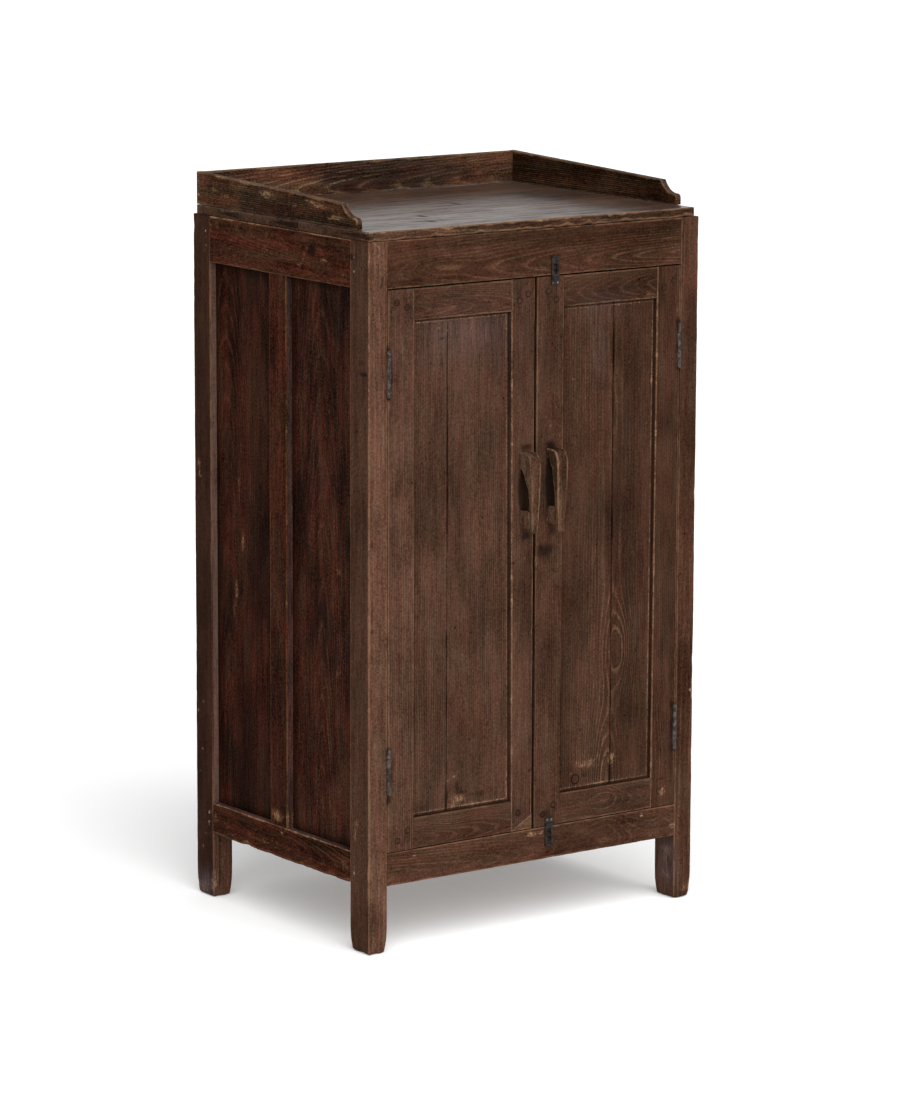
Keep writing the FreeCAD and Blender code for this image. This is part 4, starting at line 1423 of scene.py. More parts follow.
@dataclass
class SideFrame:
    """One side: two rails, a muntin and two panels.

    Attributes:
        side: "left" or "right".
        seed: picks the pieces' grain.
    """

    workshop: Workshop
    side: str
    seed: int

    def build(self) -> None:
        """Build the rails between the legs, the muntin between the rails, and the panels."""
        side = self.side
        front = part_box(f"leg_front_{side}")[1][1]
        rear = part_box(f"leg_rear_{side}")[0][1]
        for seed, node in ((0, f"{side}_top_rail"), (1, f"{side}_bottom_rail")):
            low, high = trimmed(node, (None, front, None), (None, rear, None))
            corners = [0.8, 0.8, 0.8, 0.8]
            corners[0 if side == "left" else 3] = 3.6 if "bottom" in node else 0.8
            # Pale dust with a painted sheen on the rails' upper faces in the recesses.
            rail = Timber(low, high, Axis.Y, self.seed + seed, Figure.FLAT, arris_shares=tuple(corners),
                          chips=10, rubbed=(0.5, 1.2, 1.2, 0.5), dust_and_sheen_by_side=(0.0, 0.25, 0.0, 0.0), closeness=1.4)
            self.workshop.deliver(node, "side_wood", rail)
        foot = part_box(f"{side}_bottom_rail")[1][2]
        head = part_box(f"{side}_top_rail")[0][2]
        low, high = trimmed(f"{side}_muntin", (None, None, foot), (None, None, head))
        # Pale dust with a painted sheen on the muntin's front face.
        muntin = Timber(low, high, Axis.Z, self.seed + 2, Figure.RIFT, 0.0012, chips=8,
                        rubbed=(0.5, 0.5, 0.2, 0.2), dust_and_sheen_by_side=(0.15, 0.0, 0.0, 0.0))
        self.workshop.deliver(f"{side}_muntin", "side_wood", muntin)
        openings = {"front": (front, low[1]), "rear": (high[1], rear)}
        for seed, (place, (start, stop)) in enumerate(openings.items(), start=3):
            node = f"{side}_{place}_panel"
            low_corner, high_corner = trimmed(node)
            sight = ((low_corner[0], start, foot), (high_corner[0], stop, head))
            panel = Timber(low_corner, high_corner, Axis.Z, self.seed + seed, Figure.FLAT, 0.0006,
                           sight=sight, uneven=0.0006, chips=0)
            self.workshop.deliver(node, "side_panel_wood", panel)


@dataclass
class BackFrame:
    """The back: two rails and upright boards held in them.

    Attributes:
        boards, gap: how many boards there are, and the gap between neighbours.
    """

    workshop: Workshop
    boards: int = 4
    gap: float = 0.0004

    def build(self) -> None:
        """Build the rails between the rear legs, and the boards."""
        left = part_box("leg_rear_left")[1][0]
        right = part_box("leg_rear_right")[0][0]
        for seed, node in ((301, "back_top_rail"), (302, "back_bottom_rail")):
            low, high = trimmed(node, (left, None, None), (right, None, None))
            rail = Timber(low, high, Axis.X, seed, Figure.FLAT, chips=10)
            self.workshop.deliver(node, "side_wood", rail)
        low, high = trimmed("back_boards")
        sight = ((left, low[1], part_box("back_bottom_rail")[1][2]),
                 (right, high[1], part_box("back_top_rail")[0][2]))
        boards = []
        for number, (start, stop) in enumerate(rows_of(low[0], high[0], self.boards, self.gap)):
            corners = (start, low[1], low[2]), (stop, high[1], high[2])
            board = Timber(*corners, Axis.Z, 311 + number, Figure.FLAT, 0.0008, sight=sight, uneven=0.0005,
                           chips=3)
            boards.append(board)
            if number > 0:
                boards.append(tongue(*corners, start - self.gap / 2.0, 321 + number))
        self.workshop.deliver("back_boards", "side_wood", *boards)


@dataclass
class Top:
    """The top's three planks and the gallery on them.

    Attributes:
        ogee_length, ogee_height: the size of the ogee at the gallery's front ends.
        ogee_knots: its outline, as shares of the two.
    """

    workshop: Workshop
    ogee_length: float = 0.042
    ogee_height: float = 0.0405
    ogee_knots: tuple[Span, ...] = (
        (0.0, 0.30), (0.02, 0.39), (0.06, 0.445), (0.13, 0.474), (0.29, 0.484), (0.42, 0.506),
        (0.53, 0.545), (0.65, 0.61), (0.76, 0.70), (0.86, 0.80), (0.93, 0.885), (1.0, 1.0),
    )

    def build(self) -> None:
        """Build the planks, the gallery's sides with their ogees, and its back."""
        self.build_planks()
        self.build_gallery()

    def build_planks(self) -> None:
        """Build the three planks; the front one has a ragged front edge."""
        for seed, place in enumerate(("front", "middle", "rear"), start=401):
            node = f"top_{place}_board"
            low, high = trimmed(node)
            front = place == "front"
            corners = (1.5, 0.4, 0.35, 0.8) if front else (0.4, 0.4, 0.35, 0.35)
            plank = Plank(low, high, Axis.X, seed, Figure.FLAT, 0.0016, corners, ends=(0.0012, 0.0028),
                          uneven=0.0005, chips=26 if front else 4, chip_depth=0.0026,
                          rubbed=(0.0, 0.0, 0.0, 0.55), soiled_and_shaded=(0.0, 0.0, 0.0, 0.5))
            self.workshop.deliver(node, "top_wood", plank)

    def build_gallery(self) -> None:
        """Build the gallery from the planks' top face upwards."""
        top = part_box("top_front_board")[1][2]
        nose = tuple((across * self.ogee_length, up * self.ogee_height) for across, up in self.ogee_knots)
        for seed, side in ((411, "left"), (412, "right")):
            node = f"gallery_{side}"
            low, high = trimmed(node, (None, None, top))
            # Pale dust with a painted sheen along the gallery sides' top edges.
            board = GallerySide(low, high, Axis.Y, seed, Figure.RIFT, 0.0014, (0.5, 1.0, 1.0, 0.5), nose=nose,
                                ends=(0.0008, 0.0008), uneven=0.0004, chips=10, rear_height=high[2] - top,
                                rubbed=(0.2, 0.4, 0.4, 0.2), dust_and_sheen_by_side=(0.0, 0.15, 0.0, 0.0))
            self.workshop.deliver(node, "gallery_wood", board)
        low, high = trimmed("gallery_back", (None, None, top))
        # Pale dust with a painted sheen along the back's top edge and front face.
        back = Timber(low, high, Axis.X, 413, Figure.FLAT, 0.0013, chips=12, uneven=0.0004,
                      rubbed=(0.5, 0.0, 0.3, 0.4), dust_and_sheen_by_side=(0.0, 0.0, 0.3, 0.04))
        self.workshop.deliver("gallery_back", "gallery_wood", back)


@dataclass
class Interior:
    """The floor, the shelf and the cleats under them.

    Attributes:
        boards, gap: how many boards each floor has, and the gap between neighbours.
    """

    workshop: Workshop
    boards: int = 3
    gap: float = 0.0004

    def build(self) -> None:
        """Build the boards of both floors, and the four cleats."""
        for seed, node in ((501, "floor_boards"), (511, "shelf_boards")):
            low, high = trimmed(node)
            boards = []
            for number, (start, stop) in enumerate(rows_of(low[1], high[1], self.boards, self.gap)):
                corners = (low[0], start, low[2]), (high[0], stop, high[2])
                boards.append(Timber(*corners, Axis.X, seed + number, Figure.FLAT, chips=6))
            self.workshop.deliver(node, "inside_wood", *boards)
        low, high = trimmed("board_cleats")
        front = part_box("leg_front_left")[1][1]
        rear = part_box("leg_rear_left")[0][1]
        under = {"floor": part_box("floor_boards")[0][2], "shelf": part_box("shelf_boards")[0][2]}
        tall = under["floor"] - low[2]
        corners = [((start, front, top - tall), (start + tall, rear, top))
                   for top in under.values() for start in (low[0], high[0] - tall)]
        cleats = [Timber(*pair, Axis.Y, 521 + number) for number, pair in enumerate(corners)]
        self.workshop.deliver("board_cleats", "inside_wood", *cleats)


@dataclass
class Door:
    """One door: frame, panel, pegs, carved grip with its block and, on the left, a repair.

    Attributes:
        side: "left" or "right".
        seed: picks the pieces' grain.
        meeting_inner, hinge_inner: X of each stile's inner edge at its foot and head.
        peg_shares: places of the pegs by stile and rail, as shares of the stile's width from
            the door's edge and of the rail's height from its lower edge.
        peg_radius, plug_radius: the radius of the pegs and of the plug.
        grip: the grip's outlines.
        plug: X and Z of the plug in the panel, if it has one.
        heart: X of the pith of the panel's log, if not by chance.
    """

    workshop: Workshop
    side: str
    seed: int
    meeting_inner: Span
    hinge_inner: Span
    peg_shares: Outlines
    grip: Outlines
    plug: tuple[float, float] | None = None
    heart: float | None = None
    peg_radius: float = 0.005
    plug_radius: float = 0.008

    @property
    def body(self) -> str:
        """The body that the door's pieces move with."""
        return f"{self.side}_door"

    def node(self, part: str) -> str:
        """Return the name of one of the door's nodes."""
        return f"{self.body}_{part}"

    def build(self) -> None:
        """Build the frame, the panel, the pegs and the grip."""
        self.build_frame()
        self.build_panel()
        self.build_pegs()
        self.build_grip()

    def deliver(self, part: str, slot: str, *shapes: Shape) -> None:
        """Hand over one piece that stands for one of the door's nodes."""
        self.workshop.deliver(self.node(part), slot, *shapes, body=self.body)

    def inner_edge(self, stile: str, height: float) -> float:
        """Return X of a stile's inner edge at a height."""
        low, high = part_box(self.node("hinge_stile"))
        foot, head = self.hinge_inner if stile == "hinge" else self.meeting_inner
        return foot + (head - foot) * (height - low[2]) / (high[2] - low[2])

    def build_frame(self) -> None:
        """Build both stiles and the rails between them."""
        left = self.side == "left"
        for seed, part in enumerate(("hinge", "meeting")):
            low, high = trimmed(self.node(f"{part}_stile"))
            inner_high = left == (part == "hinge")
            inner = self.hinge_inner if part == "hinge" else self.meeting_inner
            # Dirt with painted shade on both edge faces of each stile.
            stile = TaperedStile(low, high, Axis.Z, self.seed + seed, Figure.RIFT, 0.0011,
                                 (0.9, 0.9, 0.8, 0.8), chips=12, inner_high=inner_high, inner_x=inner,
                                 rubbed=(0.3, 0.3, 0.0, 0.0) if inner_high else (0.8, 0.3, 0.0, 0.0),
                                 soiled_and_shaded=(0.0, 0.4, 0.0, 0.6) if inner_high else (0.0, 0.6, 0.0, 0.4))
            self.deliver(f"{part}_stile", "door_wood", stile)
        for seed, part in enumerate(("bottom", "top"), start=2):
            low, high = trimmed(self.node(f"{part}_rail"))
            middle = (low[2] + high[2]) / 2.0
            ends = sorted(self.inner_edge(stile, middle) for stile in ("hinge", "meeting"))
            corners = (ends[0], low[1], low[2]), (ends[1], high[1], high[2])
            # Dirt with painted shade on the rails' lower and upper faces and on their front upper arris.
            rail = Timber(*corners, Axis.X, self.seed + seed, Figure.FLAT, 0.0010, chips=8,
                          rubbed=(0.3, 0.0, 0.0, 0.1), soiled_and_shaded=(0.5, 0.0, 0.8, 0.0),
                          stained_and_shaded=(0.0, 0.0, 0.0, 0.4), closeness=1.9, clearness=0.55)
            self.deliver(f"{part}_rail", "door_wood", rail)

    def build_panel(self) -> None:
        """Build the panel's two boards, with dirt and painted shade where they meet the frame."""
        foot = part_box(self.node("bottom_rail"))[1][2]
        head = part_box(self.node("top_rail"))[0][2]
        stiles = ("hinge", "meeting")
        edges = tuple(sorted(tuple(self.inner_edge(stile, z) for z in (foot, head)) for stile in stiles))
        ends = [sum(edge) / 2.0 for edge in edges]
        close = np.arange(-0.0045, 0.009, 0.0009)
        near = close[4:]
        for seed, part in enumerate(("outer_panel_board", "inner_panel_board"), start=4):
            low, high = trimmed(self.node(part))
            sight = ((ends[0], low[1], foot), (ends[1], high[1], head))
            across = [end - low[0] + way * step for end, way in zip(ends, (1, -1)) for step in close]
            stops = [foot - low[2] + step for step in near] + [head - low[2] - step for step in near]
            room = high[0] - low[0] - 0.002
            seam_high = (part == "outer_panel_board") == (self.side == "left")
            board = PanelBoard(low, high, Axis.Z, self.seed + seed, Figure.FLAT, 0.0009, sight=sight,
                               uneven=0.0006, chips=5, chip_depth=0.0006, edges=edges, log=self.seed + 4,
                               heart=self.heart, seam=high[0] if seam_high else low[0],
                               arris_shares=(0.9, 0.4, 0.4, 0.9) if seam_high else (0.4, 0.9, 0.9, 0.4),
                               rubbed=(0.0, 0.2, 0.0, 0.0) if seam_high else (0.2, 0.0, 0.0, 0.0),
                               extra={0: tuple(step for step in across if 0.0 < step < room)},
                               stops=tuple(stops))
            strips = [tongue(low, high, high[0], self.seed + 8)] if seam_high else []
            self.deliver(part, "door_panel_wood", board, *strips)

    def build_pegs(self) -> None:
        """Build the pegs of the frame's joints and, on the right, the plug in the panel."""
        pegs = []
        for name, places_of in self.peg_shares.items():
            stile, rail = name.split("_")
            stile_low, stile_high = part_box(self.node(f"{stile}_stile"))
            rail_low, rail_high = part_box(self.node(f"{rail}_rail"))
            height = (rail_low[2] + rail_high[2]) / 2.0
            inner = self.inner_edge(stile, height)
            outer = stile_low[0] if inner > (stile_low[0] + stile_high[0]) / 2.0 else stile_high[0]
            for across, up in places_of:
                middle = (outer + across * (inner - outer), rail_low[2] + up * (rail_high[2] - rail_low[2]))
                span = (stile_low[1], stile_high[1])
                pegs.append(Peg(middle, span, self.peg_radius, self.seed + 50 + len(pegs)))
        if self.plug is not None:
            board_low, board_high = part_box(self.node("inner_panel_board"))
            pegs.append(Peg(self.plug, (board_low[1], board_high[1]), self.plug_radius, self.seed + 70))
        self.deliver("pegs", "peg_wood", *pegs)

    def build_grip(self) -> None:
        """Build the grip and the block behind its lower end."""
        low, high = trimmed(self.node("handle_grip"))
        grip = CarvedGrip(low, high, seed=self.seed + 20, **self.grip)
        self.deliver("handle_grip", "handle_wood", grip)
        low, high = trimmed(self.node("handle_block"))
        # Painted light on the block's left side, and dirt with painted shade on its front left arris beside
        # the grip's gap.
        block = Timber(low, high, Axis.Z, self.seed + 30, arris=0.0010, ends=(0.0016, 0.0012), uneven=0.0008,
                       chips=1, side_light_and_shade=(0.0, 0.0, 0.0, 3.2), stained_and_shaded=(0.7, 0.0, 0.0, 0.0))
        self.deliver("handle_block", "handle_wood", block)


@dataclass
class Ironwork:
    """The hinges, hasps, screws and nails, which keep the frame's shapes."""

    workshop: Workshop

    def build(self) -> None:
        """Give each node its slot's finish."""
        slots = {row["node"]: row["material_slot"] for row in frame["record"]["subparts"]}
        for node, piece in frame["nodes"].items():
            if slots[node] in self.workshop.metals:
                for holder in piece.material_slots:
                    holder.material = self.workshop.metals[slots[node]]
                logger.info("%s: finished as %s", node, slots[node])


@dataclass
class Studio:
    """The pale floor, the soft light and the camera.

    Attributes:
        camera_at: the camera's place.
        yaw, pitch, roll: its turn from looking along Y, how far it looks down, and its tilt.
        lens: its focal length in millimetres on a sensor 36 mm long.
        surround: how bright the surroundings are.
        key: how bright the main light is on a surface that faces it.
        key_azimuth, key_height: where it comes from: round from the front, and up from level.
        key_angle: how wide it is, which softens its shadows.
        floor_shade, floor_glow: the light that the floor gives back, and its own, which keeps the
            shadow on it faint.
        glow: the power of the wide light behind the cupboard, whose shine the top gives back.
        glow_at, glow_size: its middle, and its width and height.
    """

    camera_at: Corner = (-4.6683, -6.4138, 2.0790)
    yaw: float = 0.6292
    pitch: float = 0.1835
    roll: float = 0.0035
    lens: float = 152.22
    surround: float = 0.40
    key: float = 1.28
    key_azimuth: float = -0.30
    key_height: float = 0.75
    key_angle: float = 1.2
    floor_shade: float = 0.82
    floor_glow: float = 0.2
    glow: float = 20.5
    glow_at: Corner = (2.95, 4.04, 1.76)
    glow_size: Span = (4.0, 1.6)

    def build(self) -> None:
        """Set up the floor, the lights and the camera."""
        self.build_floor()
        self.build_light()
        self.build_camera()

    def build_floor(self) -> None:
        """Lay a wide plain floor just under the feet."""
        reach, drop = 60.0, 0.0004
        corners = [(x * reach, y * reach, -drop) for x, y in ((-1, -1), (1, -1), (1, 1), (-1, 1))]
        mesh = bpy.data.meshes.new("floor")
        mesh.from_pydata(corners, [], [(0, 1, 2, 3)])
        graph = Graph("floor_paint")
        graph.give("Base Color", (self.floor_shade,) * 3 + (1.0,))
        graph.give("Emission Color", (1.0, 1.0, 1.0, 1.0))
        graph.give("Emission Strength", self.floor_glow)
        graph.give("Roughness", 0.9)
        graph.give("Specular IOR Level", 0.1)
        mesh.materials.append(graph.material)
        linked("floor", mesh)

    def build_light(self) -> None:
        """Light the room evenly, with one wide soft light from the front left."""
        scene = bpy.context.scene
        world = bpy.data.worlds.new("surroundings")
        world.use_nodes = True
        background = world.node_tree.nodes["Background"]
        background.inputs["Color"].default_value = (1.0, 1.0, 1.0, 1.0)
        background.inputs["Strength"].default_value = self.surround
        scene.world = world
        light = bpy.data.lights.new("key", "SUN")
        light.energy = self.key * np.pi
        light.angle = self.key_angle
        fall = Matrix.Rotation(np.pi / 2.0 - self.key_height, 4, "X")
        linked("key", light).matrix_world = Matrix.Rotation(self.key_azimuth, 4, "Z") @ fall
        scene.view_settings.view_transform = "Standard"
        self.build_glow()

    def build_glow(self) -> None:
        """Hang a wide light behind the cupboard, facing it."""
        light = bpy.data.lights.new("glow", "AREA")
        light.shape = "RECTANGLE"
        light.size, light.size_y = self.glow_size
        light.energy = self.glow
        lamp = linked("glow", light)
        outward = Vector(self.glow_at) - Vector((0.0, 0.0, self.glow_at[2]))
        turn = outward.to_track_quat("Z", "Y").to_matrix().to_4x4()
        lamp.matrix_world = Matrix.Translation(self.glow_at) @ turn
        lamp.visible_camera = False

    def build_camera(self) -> None:
        """Place the camera where the photograph was taken from."""
        cosine, sine = np.cos(self.yaw), np.sin(self.yaw)
        forward = np.array([sine * np.cos(self.pitch), cosine * np.cos(self.pitch), -np.sin(self.pitch)])
        level = np.array([cosine, -sine, 0.0])
        upward = np.cross(level, forward)
        right = np.cos(self.roll) * level + np.sin(self.roll) * upward
        up = np.cos(self.roll) * upward - np.sin(self.roll) * level
        camera = bpy.data.cameras.new("camera")
        camera.lens = self.lens
        camera.clip_end = 200.0
        holder = linked("camera", camera)
        placed = np.eye(4)
        placed[:3, 0], placed[:3, 1], placed[:3, 2], placed[:3, 3] = right, up, -forward, self.camera_at
        holder.matrix_world = Matrix(placed.tolist())
        bpy.context.scene.camera = holder


LEFT_GRIP: Outlines = {
    "outer": ((0.0, 0.99), (0.30, 0.99), (0.52, 0.985), (0.76, 0.972), (0.92, 0.925), (1.0, 0.84),
              (0.992, 0.62), (0.984, 0.40), (0.972, 0.20), (0.96, 0.0)),
    "inner": ((0.0, 0.777), (0.13, 0.768), (0.22, 0.755), (0.30, 0.735), (0.37, 0.705), (0.44, 0.660),
              (0.545, 0.54), (0.655, 0.39), (0.69, 0.20), (0.66, 0.0)),
    "left_edge": ((0.0, 0.27), (0.29, 0.17), (0.54, 0.20), (0.72, 0.0), (1.0, 0.0)),
    "right_edge": ((0.0, 0.80), (0.29, 0.93), (0.58, 1.0), (0.90, 0.98), (1.0, 0.90)),
}
RIGHT_GRIP: Outlines = {
    "outer": ((0.0, 0.99), (0.30, 0.988), (0.50, 0.985), (0.74, 0.974), (0.90, 0.93), (1.0, 0.85),
              (0.992, 0.62), (0.984, 0.40), (0.972, 0.20), (0.96, 0.0)),
    "inner": ((0.0, 0.875), (0.14, 0.865), (0.25, 0.845), (0.34, 0.81), (0.42, 0.775), (0.49, 0.73),
              (0.60, 0.50), (0.655, 0.38), (0.68, 0.20), (0.64, 0.0)),
    "left_edge": ((0.0, 0.24), (0.30, 0.09), (0.57, 0.06), (0.76, 0.0), (1.0, 0.0)),
    "right_edge": ((0.0, 0.74), (0.30, 0.88), (0.57, 1.0), (0.88, 1.0), (1.0, 0.90)),
}
LEFT_PEGS: Outlines = {
    "hinge_top": ((0.334, 0.604), (0.715, 0.434)),
    "meeting_top": ((0.65, 0.32), (0.29, 0.51)),
    "hinge_bottom": ((0.758, 0.62), (0.381, 0.336)),
    "meeting_bottom": ((0.666, 0.58),),
}
RIGHT_PEGS: Outlines = {
    "hinge_top": ((0.70, 0.33), (0.284, 0.53)),
    "meeting_top": ((0.42, 0.547), (0.723, 0.264)),
    "hinge_bottom": ((0.638, 0.506),),
    "meeting_bottom": ((0.33, 0.392), (0.723, 0.657)),
}
TONES: dict[str, float] = {
    "frieze_rail": -2.5, "front_bottom_rail": -1.4,
    "leg_front_left": 0.3, "leg_front_right": -1.8, "leg_rear_left": -1.8,
    "left_door_hinge_stile": 0.7, "left_door_meeting_stile": -0.2,
    "left_door_top_rail": -0.6, "left_door_bottom_rail": -0.5,
    "left_door_outer_panel_board": 0.3, "left_door_inner_panel_board": 0.1,
    "right_door_hinge_stile": -1.1, "right_door_meeting_stile": -0.4,
    "right_door_top_rail": -1.0, "right_door_bottom_rail": -0.6,
    "right_door_outer_panel_board": -0.8, "right_door_inner_panel_board": -0.6,
    "left_top_rail": 0.5, "left_bottom_rail": 0.1, "left_muntin": 0.1,
    "left_front_panel": 0.4, "left_rear_panel": -0.5,
    "top_front_board": 0.5, "top_rear_board": 0.2,
    "gallery_left": -0.3, "gallery_right": -0.4, "gallery_back": 1.7,
}
